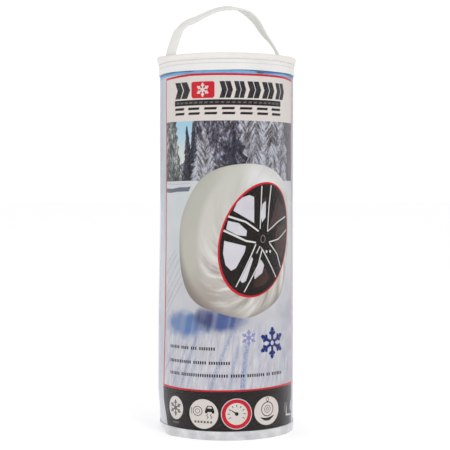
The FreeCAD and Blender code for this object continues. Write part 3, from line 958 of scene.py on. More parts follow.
def pictured_tyre():
    """The tyre in its textile cover, seen from one side, with a five-spoke wheel."""
    soft_shape("sock", ((-47.2, 178), (-43.5, 201), (-31, 224), (-18.6, 237), (0, 244.6), (23, 246.8),
                        (42.2, 243.2), (58, 234), (67, 222), (70.6, 200), (70.2, 176), (66, 155), (57.5, 131),
                        (46, 120.4), (31.6, 113.1), (18, 109.2), (2.8, 110.9), (-12, 115.7), (-26.1, 120.7),
                        (-37.4, 131.5), (-45, 151)))
    for name, share, more in (("red", 1.003, 0.014), ("wheel", 0.975, -0.004)):
        paint(name, [wheel_point(share + more * smooth_step(math.cos(math.radians(t)), 0.5, -0.7), t)
                     for t in range(0, 360, 6)])
    paint("brake", [wheel_point(r, t) for r, t in ((0.5, -14), (0.7, -24), (0.88, -22), (0.9, 0), (0.86, 18),
                                                   (0.55, 26), (0.5, 8))])
    paint("brake", [wheel_point(r, t) for r, t in ((0.55, -60), (0.82, -56), (0.86, -70), (0.84, -88),
                                                   (0.66, -86))])
    paint("brake", [wheel_point(r, t) for r, t in ((0.3, 40), (0.82, 62), (0.86, 44), (0.84, 30), (0.4, 26))])
    gaps = (((0.93, 147), (0.97, 138), (0.96, 130), (0.9, 120), (0.81, 113), (0.36, 126)),
            ((0.9, 168), (0.93, 159), (0.66, 154), (0.4, 157), (0.37, 170), (0.6, 172)),
            ((0.88, -179), (0.35, -162), (0.4, -148), (0.69, -135), (0.8, -138), (0.87, -150), (0.89, -165)),
            ((0.33, -116), (0.35, -106), (0.74, -105), (0.8, -110), (0.78, -116)),
            ((0.36, -72), (0.5, -62), (0.62, -70), (0.69, -88), (0.62, -90)),
            ((0.42, 98), (0.6, 96), (0.72, 92), (0.66, 87), (0.4, 78), (0.3, 90)))
    for gap in gaps:
        paint("window", [wheel_point(r, t) for r, t in gap])
    paint("brake", [wheel_point(r, t) for r, t in ((0.62, 96), (0.72, 96), (0.76, 90), (0.7, 86))])
    edges = (((0.95, 99), (0.19, 98)), ((0.96, 82), (0.6, 76), (0.25, 38)),
             ((0.91, 26), (0.6, 31), (0.24, 36)), ((0.97, 155), (0.53, 144), (0.16, 112)),
             ((0.95, 170), (0.35, -177), (0.1, -150)), ((0.11, -136), (0.4, -119), (0.92, -117)),
             ((0.21, -58), (0.45, -82), (0.93, -102)), ((0.22, -54), (0.65, -46), (0.95, -45)),
             ((0.32, -12), (0.67, -23), (0.95, -32)), ((0.29, -9), (0.6, 0), (0.94, 10)))
    for edge in edges:
        path = [wheel_point(r, t) for r, t in edge]
        wide = 1.9 if edge[0][1] in (155, 170) else 1.15
        stroke("silver", path, wide, wide * 0.75)
    stroke("silver", [wheel_point(0.22, -54), wheel_point(0.12, -70), wheel_point(0.24, -96)], 1.0)
    disc("wheel", 34.3, 180, 6.2, 8.0)
    disc("hub", 34.3, 179.6, 2.7, 3.7)
    disc("wheel", 34.3, 179.6, 1.9, 2.8)
    for r, t in ((0.42, -30), (0.33, -40), (0.62, 160)):
        disc("silver", *wheel_point(r, t), 1.1, 1.4, 12)


def lower_marks():
    """Snowflakes, and three dotted rules in place of any words."""
    snowflake("lavender", 20.2, 91.4, 7.2, 1.15, 0.98)
    snowflake("navy", 45.0, 85.6, 14.2, 2.8, 1.02)
    disc("snow", 45.0, 85.6, 1.9, 2.1, 16)
    snowflake("faint", 63.5, 72.0, 4.6, 0.8, 0.8)
    rows = ((81.6, (-59.5, (13, 9, 6, 16))), (68.9, (-59.5, (26, 14, 20))),
            (57.6, (-59.5, (14, 46, 14, 18, 4, 14))))
    for z, (start, words) in rows:
        u = start
        for length in words:
            count = max(round(length / 2.2), 1)
            for k in range(count):
                block("black", u + k * 2.2, z - 1.3, u + k * 2.2 + 1.35, z + 1.5)
            u += count * 2.2 + 1.9


def foot_band():
    """Black band with round pictograms."""
    paint("red", [(-72.2, 42.9), (-46, 43.0), (-20, 43.2), (0, 43.5), (30, 44.0), (60, 44.4), (80.4, 44.0),
                  (80.4, 46.4), (60, 46.3), (30, 45.6), (0, 45.1), (-20, 44.8), (-46, 44.8), (-72.2, 45.0)])
    paint("black", [(-73.6, 43.1), (-46, 43.1), (-20, 43.3), (0, 43.6), (30, 44.1), (60, 44.5), (81, 44.0),
                    (81.4, 20), (80, SHEET_BOTTOM), (-66, SHEET_BOTTOM), (-68.5, 16), (-72.5, 28)])
    disc("white", -52.2, 26, 9.6, 10.6)
    snowflake("grey", -52.2, 26, 7.4, 1.2)
    block("grey", -56.2, 12.0, -48.0, 13.6)
    pictogram_car(-21.4, 23.2)
    pictogram_gauge(9.0, 23.7)
    pictogram_keep(39.4, 24.7)
    paint("window", [(66.2, 16.6), (79, 15.2), (79, 16.6), (67.8, 18.0), (68.2, 24.6), (66.4, 25)])
    for k in range(4):
        block("hub", 63.0 + k * 1.6, 20.5, 63.9 + k * 1.6, 28.5 + (k % 2))
    paint("window", [(76.5, 20), (79.2, 19.6), (79.2, 28.6), (76.9, 29.2)])


def pictogram_car(u, z):
    """Car seen from behind, with its two winding tracks, and a tyre with a grip mark."""
    disc("white", u, z, 13.9, 13.3, 48)
    for radius, name in ((4.4, "grey"), (3.7, "white"), (2.2, "grey"), (1.7, "white")):
        disc(name, u - 5.6, z + 2.4, radius * 1.1, radius)
    stroke("grey", [(u - 11.4, z + 5.4), (u - 12.0, z + 2.4), (u - 11.2, z - 0.6)], 0.6)
    paint("black", [(u + 1.6, z + 2.6), (u + 2.4, z + 5.2), (u + 4.0, z + 7.6), (u + 8.0, z + 7.6),
                    (u + 9.6, z + 5.2), (u + 10.4, z + 2.6), (u + 10.2, z + 0.8), (u + 8.2, z + 0.8),
                    (u + 7.8, z + 2.0), (u + 4.2, z + 2.0), (u + 3.8, z + 0.8), (u + 1.8, z + 0.8)])
    paint("white", [(u + 3.6, z + 5.2), (u + 4.6, z + 6.8), (u + 7.4, z + 6.8), (u + 8.4, z + 5.2)])
    for shift in (0.0, 3.4):
        stroke("grey", [(u + 4.2 + shift, z + 0.2), (u + 3.2 + shift, z - 1.2), (u + 4.8 + shift, z - 2.6),
                        (u + 3.6 + shift, z - 4.0)], 0.8)
    for k in range(6):
        block("grey", u - 8.6 + k * 3.0, z - 8.2, u - 6.7 + k * 3.0, z - 6.2)


def pictogram_gauge(u, z):
    """Red-ringed dial with a needle at its low end."""
    for radius, name in ((13.9, "window"), (13.2, "red"), (9.8, "white")):
        disc(name, u, z, radius * 1.02, radius, 48)
    for k in range(9):
        a = 210 - 30 * k
        stroke("black", [round_spot(u, z, 6.2, a), round_spot(u, z, 8.2, a)], 0.7)
    stroke("black", [(u + 1.0, z - 0.7), (u - 5.2, z + 3.6)], 1.7, 0.5)
    disc("black", u, z, 1.7, 1.7, 20)


def pictogram_keep(u, z):
    """Rolled sock with its loop, held over an open hand."""
    disc("white", u, z, 14.0, 12.9, 48)
    for radius, name in ((2.0, "black"), (1.3, "white")):
        disc(name, u, z + 10.2, radius * 0.8, radius, 20)
    for radius, name in ((6.9, "black"), (6.1, "white"), (3.6, "grey"), (3.0, "white"), (1.5, "grey"),
                         (0.9, "white")):
        disc(name, u, z + 1.6, radius, radius * 0.97, 32)
    stroke("black", [(u, z + 8.4), (u, z + 7.6)], 0.9)
    soft_shape("black", ((u - 7.6, z - 5.4), (u - 3.0, z - 6.2), (u + 2.0, z - 6.0), (u + 8.2, z - 4.6),
                         (u + 4.0, z - 7.8), (u + 0.5, z - 9.0), (u - 4.0, z - 8.2)), 3)


def side_ticks():
    """Column of small marks up each side panel."""
    pick = random.Random(20)
    for centre in (-85.0, 97.0):
        z = 98.0
        while z < 302:
            for _ in range(pick.randint(3, 9)):
                if z < 302:
                    block("grey", centre - pick.uniform(0.9, 1.5), z, centre + 1.0, z + 1.1)
                    z += 2.1
            z += pick.uniform(2.5, 6.0)


def back_panel(start, end):
    """White panel for the sizes and the fitting steps, all with blank marks."""
    middle = (start + end) / 2
    wide = end - start
    block("red", start - 0.9, 40, end + 0.9, 318)
    block("panel", start, 41, end, 317)
    block("black", start + 6, 296, end - 6, 308)
    for k in range(9):
        block("white", start + 10 + k * (wide - 22) / 9, 300.4, start + 10 + (k + 0.6) * (wide - 22) / 9,
              303.6)
    for row in range(9):
        z = 282 - row * 9
        block("side" if row % 2 else "window", start + 6, z - 7.6, end - 6, z)
        for column in range(4):
            u = start + 9 + column * (wide - 18) / 4
            length = 4 + (row * 5 + column * 3) % 7
            block("grey", u, z - 5.0, u + length, z - 2.8)
    for step, covered in enumerate((60, 180, FULL_TURN)):
        z = 176 - step * 42
        disc("grey", middle, z, 17.5, 17.5, 48)
        disc("white", middle, z, 16.6, 16.6, 48)
        disc("tread", middle, z, 13.0, 13.0, 40)
        disc("window", middle, z, 7.4, 7.4, 30)
        disc("hub", middle, z, 2.6, 2.6, 16)
        for spoke in range(5):
            a = 90 + 72 * spoke
            stroke("grey", [round_spot(middle, z, 2, a), round_spot(middle, z, 7.2, a)], 1.4)
        if covered < FULL_TURN:
            rim = [(14.2, 90 + covered / 2 - covered * k / 24) for k in range(25)]
            inner = [(8.0, 90 - covered / 2 + covered * k / 24) for k in range(25)]
            paint("white_cloth", [round_spot(middle, z, r, a) for r, a in rim + inner])
        else:
            disc("white_cloth", middle, z, 14.2, 14.2, 40)
            disc("red", middle, z, 8.6, 8.6, 30)
            disc("window", middle, z, 7.7, 7.7, 30)
    block("black", start + 6, 46, end - 6, 54)


panel_ground(), header(), landscape(), pictured_tyre(), lower_marks(), foot_band(), side_ticks()
back_panel(112, 176)
back_panel(-176, -112)


def belly(degrees, height):
    """How far the left side of the bag has been pushed out low down, in metres."""
    side = math.exp(-((degrees + 92) / 30) ** 2) + 0.25 * math.exp(-((degrees - 92) / 30) ** 2)
    return 2.0 * MM * side * smooth_step(height, 0.008, 0.04) * smooth_step(height, 0.21, 0.09)


CARD_COLUMNS, CARD_ROWS = 120, 26
CARD_THICKNESS = 0.35 * MM


def print_card():
    """Cuts the card along every outline of the artwork, rolls it round the bag and gives it its thickness."""
    points, edges, loops = [], [], []
    for _, outline in ART:
        first = len(points)
        points += [Vector(point) for point in outline]
        loops.append(list(range(first, len(points))))
    step_u = (SHEET_RIGHT - SHEET_LEFT) / CARD_COLUMNS
    for k in range(1, CARD_COLUMNS):
        u = SHEET_LEFT + k * step_u
        edges.append((len(points), len(points) + 1))
        points += [Vector((u, SHEET_BOTTOM)), Vector((u, SHEET_TOP))]
    for k in range(1, CARD_ROWS):
        z = SHEET_BOTTOM + (SHEET_TOP - SHEET_BOTTOM) * k / CARD_ROWS
        edges.append((len(points), len(points) + 1))
        points += [Vector((SHEET_LEFT, z)), Vector((SHEET_RIGHT, z))]
    flat, _, triangles, _, _, owners = delaunay_2d_cdt(points, edges, loops, 1, 1e-4, True)
    names = list(INKS)
    faces, picks = [], []
    for corners, inside in zip(triangles, owners):
        if inside:
            a, b, c = (flat[k] for k in corners[:3])
            turned = (b - a).cross(c - a) < 0
            faces.append(list(reversed(corners)) if turned else list(corners))
            picks.append(names.index(ART[max(inside)][0]))
    sides = {}
    for face in faces:
        for a, b in zip(face, face[1:] + face[:1]):
            sides[(a, b)] = sides.get((a, b), 0) + 1
    rim = [(a, b) for a, b in sides if (b, a) not in sides]
    size = len(flat)

    def rolled(point, radius):
        turn = math.degrees(point.x * MM / SHEET_RADIUS)
        return around(radius + belly(turn, point.y * MM), turn, point.y * MM)
    solid = [rolled(p, SHEET_RADIUS) for p in flat] + [rolled(p, SHEET_RADIUS - CARD_THICKNESS) for p in flat]
    back = names.index("panel")
    every = faces + [[k + size for k in reversed(face)] for face in faces] + [[b, a, a + size, b + size]
                                                                              for a, b in rim]
    picks = picks + [back] * (len(faces) + len(rim))
    uvs = [[tuple(flat[k % size]) for k in face] for face in every]
    piece = mesh_piece("printed_insert", solid, every, [INKS[name] for name in names], uvs, picks, 50)
    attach(piece, "bag")
    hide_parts("insert_sheet")
    return piece


print_card()


# ---------------------------------------------------------------- film
def film_material(name, tint, cloud, haze_scale, roughness, body):
    """Thin PVC film: see-through face on, glossy where it turns away, with a cloudy share that varies."""
    material = bpy.data.materials.new(name)
    material.use_nodes = True
    tree = material.node_tree
    surface = tree.nodes["Principled BSDF"]
    surface.inputs["Base Color"].default_value = rgb(*body)
    surface.inputs["Roughness"].default_value = roughness
    surface.inputs["IOR"].default_value = 1.5
    spot = put(tree, "ShaderNodeTexCoord").outputs["Object"]
    clouds = speckle(tree, spot, haze_scale, 3.0)
    edge = put(tree, "ShaderNodeLayerWeight", {"Blend": 0.22}).outputs["Facing"]
    turned = times(tree, calc(tree, "POWER", edge, 2.2), 0.55)
    haze = scaled(tree, ease(tree, clouds, 0.3, 0.75), cloud * 0.5, cloud)
    share = calc(tree, "ADD", turned, haze, clamp=True)
    ripples = put(tree, "ShaderNodeBump", {"Strength": 0.35, "Distance": 0.0012,
                                           "Height": speckle(tree, spot, 26.0, 2.0)})
    tree.links.new(ripples.outputs[0], surface.inputs["Normal"])
    clear = put(tree, "ShaderNodeBsdfTransparent", {"Color": rgb(*tint)})
    mixed = put(tree, "ShaderNodeMixShader", {0: share, 1: clear.outputs[0], 2: surface.outputs[0]})
    tree.links.new(mixed.outputs[0], tree.nodes["Material Output"].inputs["Surface"])
    return material


CLEAR = film_material("clear_pvc", (253, 253, 254), 0.001, 14.0, 0.1, (225, 228, 232))
WELDED = film_material("welded_pvc", (250, 250, 252), 0.10, 60.0, 0.3, (232, 234, 238))
FROSTED = film_material("frosted_pvc", (236, 236, 238), 0.62, 70.0, 0.42, (226, 226, 228))


def bulge(degrees, height):
    """How far the film stands off its round, in metres: slack ripples, more towards the foot."""
    slack = 0.35 * MM + 0.5 * MM * smooth_step(height, 0.12, 0.02)
    ripple = wobble(degrees * 0.035, height * 14, 3.1) * 0.5 + wobble(degrees * 0.11, height * 30,
                                                                      7.7) * 0.2 + 0.4
    return max(ripple, 0.0) * slack + belly(degrees, height)


def pinch(turn):
    """1 at the left-hand corner of the foot, where the film was folded in, and 0 elsewhere."""
    return smooth_step(turn, -60.5, -63) * smooth_step(turn, -122, -112)


def clear_wall():
    def radius(turn, share):
        height = WALL_LOW + (WALL_HIGH - WALL_LOW) * share
        return WALL_RADIUS + bulge(turn, height) * smooth_step(share, 1.0, 0.96)
    wall = hoop("clear_wall", -180, 180, 2.0, radius,
                (lambda turn: WALL_LOW + 4.4 * MM * pinch(turn), WALL_HIGH, 45), FILM, [CLEAR])
    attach(wall, "bag")
    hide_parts("bag_wall")
    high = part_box("wall_lap_weld")
    half = math.degrees(math.asin(high[1].x / WALL_RADIUS))

    def seam_radius(turn, share):
        height = high[0].z + (high[1].z - high[0].z) * share
        side = (turn - 180) / half
        weld = 0.12 * MM * max(math.cos(side * math.pi * 3.5), 0)
        return WALL_RADIUS + FILM + bulge(turn if turn <= 180 else turn - 360, height) + weld
    seam = hoop("lap_weld_seam", 180 - half, 180 + half, half / 8, seam_radius, (high[0].z, high[1].z, 90),
                FILM, [WELDED])
    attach(seam, "bag")
    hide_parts("wall_lap_weld")


def foot():
    """Frosted welded hem and floor. Its left-hand corner is pinched in where the film was folded under."""
    def radius(turn, share):
        corner = 2.2 * MM * math.exp(-((turn + 53) / 9) ** 2) * (1 - share)
        crimp = 0.15 * MM * math.sin(math.radians(turn) * 90) * (1 - share)
        return FOOT_RADIUS + corner + crimp - 0.3 * MM * (1 - share) ** 2

    def low(turn):
        return FOOT_LOW + 4.8 * MM * pinch(turn)
    hem = hoop("frosted_hem", -180, 180, 1.5, radius, (low, FOOT_HIGH, 9), FILM, [FROSTED])
    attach(hem, "bag")
    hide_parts("foot_weld_band")
    low_corner, high_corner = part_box("base_panel")
    edge = high_corner.x
    corner = 1.2 * MM
    stops = [(edge, low_corner.z), (edge, high_corner.z - corner)]
    stops += [(edge - corner + corner * math.cos(a), high_corner.z - corner + corner * math.sin(a))
              for a in (math.radians(30), math.radians(60), math.radians(90))]
    stops += [(edge * share, high_corner.z - 0.9 * MM * smooth_step(share, 0.96, 0.6))
              for share in (0.85, 0.7, 0.5, 0.3, 0.12, 0.02)]
    lengths = running_lengths(stops)

    def place(i, j):
        reach, height = stops[j]
        turn = i * 3 if i <= 60 else i * 3 - 360
        sag = 0.35 * MM * wobble(i * 0.09, reach * 60, 2.0) * (1 if 1 < j < len(stops) else 0)
        return around(reach - (4.5 * MM * pinch(turn) if j == 0 else 0), turn,
                      height + sag - (0.2 * MM if j > 4 else 0))

    def flat(i, j):
        return (math.radians(i * 3) * edge / MM, lengths[j] / MM)
    base = slab("frosted_base", (120, len(stops)), place, flat, 0.6 * MM, [FROSTED], True)
    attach(base, "bag")
    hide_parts("base_panel")


clear_wall()
foot()


# ---------------------------------------------------------------- zip
def low_edge(turn):
    """Height of the lower tape's sewn edge, a little uneven."""
    return TAPE_LOW + 0.4 * MM + 0.5 * MM * wobble(turn * 0.03, 5.0)


def tape_face(crown):
    """Radius of a tape's face, standing out by crown mm along its middle."""
    def radius(turn, share):
        return TAPE_RADIUS + crown * MM * math.sin(share * math.pi) + 0.1 * MM * wobble(turn * 0.05, 1.0)
    return radius


def zip_tapes():
    """Two woven tapes, one sewn to the bag and one to the lid, that meet along the zip."""
    lower_levels = (low_edge, ZIP_HEIGHT - 0.07 * MM, 6)
    upper_levels = (ZIP_HEIGHT + 0.07 * MM, UPPER_HIGH, 4)
    lower = hoop("lower_tape", -ZIP_END, ZIP_END, 2.0, tape_face(0.12), lower_levels, CLOTH, [TAPE_CLOTH])
    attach(lower, "bag")
    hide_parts("lower_zip_tape")
    upper = hoop("upper_tape", -ZIP_END, ZIP_END, 2.0, tape_face(0.1), upper_levels, CLOTH, [TAPE_CLOTH])
    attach(upper, "lid")
    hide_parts("upper_zip_tape")
    out = TAPE_RADIUS + 0.1 * MM
    stitches("lower_tape_stitches", [round_line(out, TAPE_LOW + height * MM, -ZIP_END + 1, ZIP_END - 1)
                                     for height in (1.5, 3.4)], "bag")
    stitches("upper_tape_stitches", [round_line(out, UPPER_LOW + 1.5 * MM, -ZIP_END + 1, ZIP_END - 1)], "lid")


def zip_coils():
    """Nylon coil sewn behind each tape: loops that reach past its edge and lock with their neighbours."""
    reach = COIL_TOP - (UPPER_LOW + TAPE_HIGH) / 2
    half = ZIP_END - 2.2
    mid = TAPE_RADIUS - CLOTH - 0.85 * MM
    for name, body, side, node in (("lower_coil", "bag", 1, "lower_zip_coil"),
                                   ("upper_coil", "lid", -1, "upper_zip_coil")):
        path = [(-0.32, -reach / MM * side, -0.5), (-0.3, -0.2 * side, -0.5), (-0.18, 0.35 * side, -0.3),
                (0.0, 0.48 * side, 0.0), (0.18, 0.35 * side, 0.3), (0.3, -0.2 * side, 0.5),
                (0.32, -reach / MM * side, 0.5)]
        loop = unit_tube(name + "_unit", [(x * MM, y * MM, z * MM) for x, y, z in path], 0.24 * MM, 5)
        UNITS.append(loop)
        shift = 0.0 if side > 0 else 0.6
        line = round_line(mid, ZIP_HEIGHT, -half + shift, half - 0.6 + shift, 1.0)
        coil = row_of(name, [line], loop, 1.32 * MM, COIL_PLASTIC)
        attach(coil, body)
        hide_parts(node)


def enamelled(node):
    """A metal part keeps its modelled shape and takes the worn white enamel."""
    part = frame["nodes"][node]
    part.data.materials.clear()
    part.data.materials.append(SLIDER_ENAMEL)


def hinge_gusset():
    """Tape that runs on past the zip's ends as the lid's hinge, with a shallow crease between the bag and the
    lid.
    """
    low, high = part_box("hinge_gusset_lower")[0].z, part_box("hinge_gusset_upper")[1].z
    start = ZIP_END + 0.4

    def radius(turn, share):
        fold = 0.35 * MM * math.exp(-((share - 0.63) / 0.09) ** 2)
        return TAPE_RADIUS - fold
    strip = hoop("hinge_strip", start, 360 - start, 1.6, radius, (low, high, 17), CLOTH, [TAPE_CLOTH])
    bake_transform(strip)
    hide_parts("hinge_gusset_lower", "hinge_gusset_upper")
    out = TAPE_RADIUS + 0.1 * MM
    stitches("hinge_stitches_lower", [round_line(out, low + 1.5 * MM, start + 1, 359 - start)], "bag")
    stitches("hinge_stitches_upper", [round_line(out, high - 1.2 * MM, start + 1, 359 - start)], "lid")


zip_tapes()
zip_coils()
hinge_gusset()
for metal in ("zip_slider", "zip_puller", "zip_stop_left", "zip_stop_right"):
    enamelled(metal)


# ---------------------------------------------------------------- lid
def rim_lift(turn):
    """Height change of the binding's outer edge. It stands up by the handle's front foot and dips between."""
    ears = 2.6 * math.exp(-((turn + 84) / 24) ** 2) + 1.3 * math.exp(-((turn - 86) / 24) ** 2)
    return (ears + 0.55 * wobble(turn * 0.022, 2.0) + 0.3 * wobble(turn * 0.08, 4.0) - 0.3) * MM


def lid_rim():
    """Soft folded binding round the lid, a little swollen and uneven, with the piping under it."""
    inner = (LID_RADIUS - RIM_RADIUS) / MM
    section = [(inner, 3.0), (inner, 4.9), (-3.9, 5.5), (-2.6, 5.75), (-1.2, 5.5), (-0.35, 4.7), (-0.1, 3.6),
               (-0.3, 2.5), (-0.9, 1.7), (-1.35, 1.3), (-1.3, 1.0), (-1.4, 0.6), (-1.8, 0.15), (-3.0, 0.0),
               (inner, 0.3)]
    count = 180
    rings = []
    for i in range(count):
        turn = i * FULL_TURN / count
        signed = turn if turn <= 180 else turn - 360
        ring = []
        for x, z in section:
            outer = smooth_step(x, inner, -0.5)
            pucker = 0.35 * wobble(turn * 0.16, z * 0.4, 6.0) * outer
            sway = 0.5 * wobble(turn * 0.03, 11.0) * outer
            lift = rim_lift(signed) * outer * smooth_step(z, 0.4, 3.0)
            ring.append(around(RIM_RADIUS + (x + pucker + sway - 0.2 * outer) * MM, turn,
                               RIM_LOW + z * MM + lift))
        rings.append(ring[::-1])
    girth = running_lengths(section + section[:1])
    arc = RIM_RADIUS / MM * math.tau / count
    rim = loft("lid_rim", rings, lambda i, j: (i * arc, girth[len(section) - j]), [RIM_CLOTH], True)
    smooth = rim.modifiers.new("soft", "SUBSURF")
    smooth.levels = smooth.render_levels = 1
    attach(rim, "lid")
    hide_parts("lid_binding")
    top = RIM_LOW + 5.65 * MM
    lines = [[(around(RIM_RADIUS - 3.1 * MM, t, top + rim_lift(t if t <= 180 else t - 360) * 0.55 + 0.1 * MM),
               Vector((0, 0, 1))) for t in range(0, 361, 3)]]
    stitches("rim_stitches", lines, "lid", 2.9)


def lid_top():
    """Round of coated cloth, drawn tight in the binding, with a faint sag and soft creases."""
    stops = [LID_RADIUS * share for share in (0.999, 0.985, 0.95, 0.9, 0.82, 0.72, 0.6, 0.48, 0.36, 0.24,
                                              0.12, 0.01)]

    def height(reach, turn):
        share = reach / LID_RADIUS
        crease = 0.35 * wobble(reach * 50 * math.sin(math.radians(turn)),
                               reach * 50 * math.cos(math.radians(turn)), 1.5)
        return LID_HIGH - (0.5 * (1 - share ** 2) + crease * (1 - share ** 4) * 0.8) * MM * 0.9

    def place(i, j):
        return around(stops[j], i * 4, height(stops[j], i * 4))

    def flat(i, j):
        spot = around(stops[j], i * 4, 0)
        return (spot.x / MM, spot.y / MM)
    cover = slab("lid_cloth", (90, len(stops)), place, flat, 0.5 * MM, [LID_CLOTH], True)
    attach(cover, "lid")
    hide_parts("lid_panel")


lid_rim()
lid_top()


# ---------------------------------------------------------------- handle
STRAP_ROUTE = ((-0.965, 9.2), (-0.907, 18.2), (-0.868, 23.4), (-0.845, 25.0), (-0.815, 26.6), (-0.73, 30.6),
               (-0.482, 38.2), (-0.166, 46.4), (0.116, 49.2), (0.34, 47.2), (0.546, 39.4), (0.705, 27.6),
               (0.838, 19.8), (0.96, 10.6))
STRAP_TURNS = ((12, (-50, -40)), (-7, (-38, -28)), (11, (-20, 8)), (-9, (8, 24)), (10, (28, 44)),
               (12, (40, 56)))
FOOT_BEND = ((48.2, 0.0), (52, 0.0), (56.5, 0.1), (59.2, 0.9), (60.3, 3.4))
HALF_SPAN, STRAP_TOP = 60.4, 49.2
STRAP_WIDTH, STRAP_CORE, STRAP_FULLNESS, STRAP_CORNER = 16.0, 1.2 * MM, 1.9, 0.8
ACROSS_HANDLE = Vector((-HANDLE_AXIS.y, HANDLE_AXIS.x, 0))
BOX_NEAR, BOX_FAR, BOX_HALF = 49.3, 56.2, 6.4


def strap_ring(point, ahead, twist, outline):
    """The strap's section at a point of its route, in metres, turned by twist, cupped and a little uneven."""
    along = HANDLE_AXIS * ahead.x + Vector((0, 0, ahead.z))
    facing = along.cross(ACROSS_HANDLE).normalized()
    side = ACROSS_HANDLE * math.cos(twist) + facing * math.sin(twist)
    face = along.cross(side).normalized()
    middle = HANDLE_AXIS * (point.x * MM) + Vector((0, 0, point.z * MM))
    bow = 0.25 * wobble(point.x * 0.09, point.z * 0.09, 4.0)
    depth = 0.35 + 6.0 * math.exp(-((point.x - 13) / 9) ** 2)
    ring = []
    for x, y in outline:
        cup = depth * (1 - (2 * x / STRAP_WIDTH) ** 2)
        rise = y * (1 - 0.12 * math.cos(2 * math.pi * x / 4)) + cup * 0.3
        ring.append(middle + side * (x + bow) * MM + face * rise * MM)
    return ring


def box_stitch_lines(height):
    """A sewn box with a cross in it on each of the strap's two ends."""
    lines = []
    for end in (-1, 1):
        near, far = end * BOX_NEAR, end * BOX_FAR
        corners = [(near, -BOX_HALF), (near, BOX_HALF), (far, BOX_HALF), (far, -BOX_HALF), (near, -BOX_HALF)]
        for path in (corners, [corners[0], corners[2]], [corners[1], corners[3]]):
            for a, b in zip(path, path[1:]):
                spots = [(a[0] + (b[0] - a[0]) * t / 4, a[1] + (b[1] - a[1]) * t / 4) for t in range(5)]
                lines.append([(HANDLE_AXIS * (s * MM) + ACROSS_HANDLE * (c * MM) + Vector((0, 0, height)),
                               Vector((0, 0, 1))) for s, c in spots])
    return lines


def handle():
    """One length of webbing: a sewn-down end, up over the hand and down to the other end."""
    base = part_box("handle_strap")[1].z - STRAP_TOP * MM - STRAP_CORE / 2
    tab_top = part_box("handle_end_front")[1].z - STRAP_CORE / 2
    tab = tab_top / MM
    end = [(place, tab + rise) for place, rise in FOOT_BEND]
    route = [(-place, height) for place, height in end]
    route += [(share * HALF_SPAN, base / MM + rise) for share, rise in STRAP_ROUTE] + end[::-1]
    line = curve_through([(place, 0, height) for place, height in route], 6)
    outline = round_box_section(STRAP_WIDTH, STRAP_FULLNESS, STRAP_CORNER, 3)
    rings = []
    for i, point in enumerate(line):
        ahead = (line[min(i + 1, len(line) - 1)] - line[max(i - 1, 0)]).normalized()
        turned = sum(turn * smooth_step(point.x, *stretch) for turn, stretch in STRAP_TURNS)
        twist = math.radians(turned) * smooth_step(point.z, tab + 1, tab + 9)
        rings.append(strap_ring(point, ahead, twist, outline))
    travelled = running_lengths(line)
    girth = running_lengths(outline + outline[:1])
    strap = loft("handle_webbing", rings, lambda i, j: (girth[j], travelled[min(i, len(travelled) - 1)]),
                 [WEBBING])
    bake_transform(strap)
    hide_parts("handle_strap", "handle_end_front", "handle_end_rear")
    stitched = box_stitch_lines(tab_top + STRAP_CORE / 2 + 0.15 * MM)
    stitches("handle_box_stitches", stitched, "lid", 2.6)


handle()


# ---------------------------------------------------------------- the two rolled socks and the leaflet
SOLVER_FRAMES = 20
FILLING_PRESSURE = 4.0
EVEN_SQUARE = 4.5 * MM


def swell(piece, reach):
    """Lets the textile swell on its filling with the cloth solver, each point within reach of its start."""
    before = [vertex.co.copy() for vertex in piece.data.vertices]
    cloth = piece.modifiers.new("swell", "CLOTH")
    cloth.settings.use_pressure = True
    cloth.settings.uniform_pressure_force = FILLING_PRESSURE
    cloth.settings.effector_weights.gravity = 0.0
    cloth.settings.quality = 4
    cloth.settings.tension_stiffness = 12
    cloth.point_cache.frame_start = 1
    cloth.point_cache.frame_end = SOLVER_FRAMES
    scene = bpy.context.scene
    for number in range(1, SOLVER_FRAMES + 1):
        scene.frame_set(number)
    done = baked_mesh(piece)
    piece.modifiers.remove(cloth)
    for vertex, start, end in zip(piece.data.vertices, before, [v.co.copy() for v in done.vertices]):
        move = end - start
        vertex.co = start + move * min(1.0, reach / max(move.length, 1e-9))
    bpy.data.meshes.remove(done)
    scene.frame_set(1)


def roll_form(name, low, high, radius, corner):
    """Closed drum of textile to be swollen, made of even squares."""
    profile = [(0.0, low), (radius * 0.5, low), (radius - corner, low)]
    profile += [(radius - corner + corner * math.sin(a), low + corner - corner * math.cos(a))
                for a in (0.52, 1.05, 1.57)]
    profile += [(radius - corner + corner * math.cos(a), high - corner + corner * math.sin(a))
                for a in (0.0, 0.52, 1.05, 1.57)]
    profile += [(radius * 0.5, high), (0.0, high)]
    shell = bmesh.new()
    ring_verts = []
    for reach, height in profile:
        if reach == 0.0:
            ring_verts.append([shell.verts.new((0, 0, height))])
        else:
            ring_verts.append([shell.verts.new(around(reach, t * 7.5, height)) for t in range(48)])
    for lower, upper in zip(ring_verts, ring_verts[1:]):
        for k in range(48):
            n = (k + 1) % 48
            corners = [lower[k % len(lower)], lower[n % len(lower)], upper[n % len(upper)],
                       upper[k % len(upper)]]
            unique = [v for i, v in enumerate(corners) if v not in corners[:i]]
            shell.faces.new(unique)
    bmesh.ops.recalc_face_normals(shell, faces=shell.faces)
    mesh = bpy.data.meshes.new(name)
    shell.to_mesh(mesh)
    shell.free()
    piece = new_object(name, mesh)
    remesh = piece.modifiers.new("even", "REMESH")
    remesh.mode = "VOXEL"
    remesh.voxel_size = EVEN_SQUARE
    bpy.context.view_layer.update()
    even = baked_mesh(piece)
    piece.modifiers.remove(remesh)
    piece.data = even
    even.name = name
    return piece


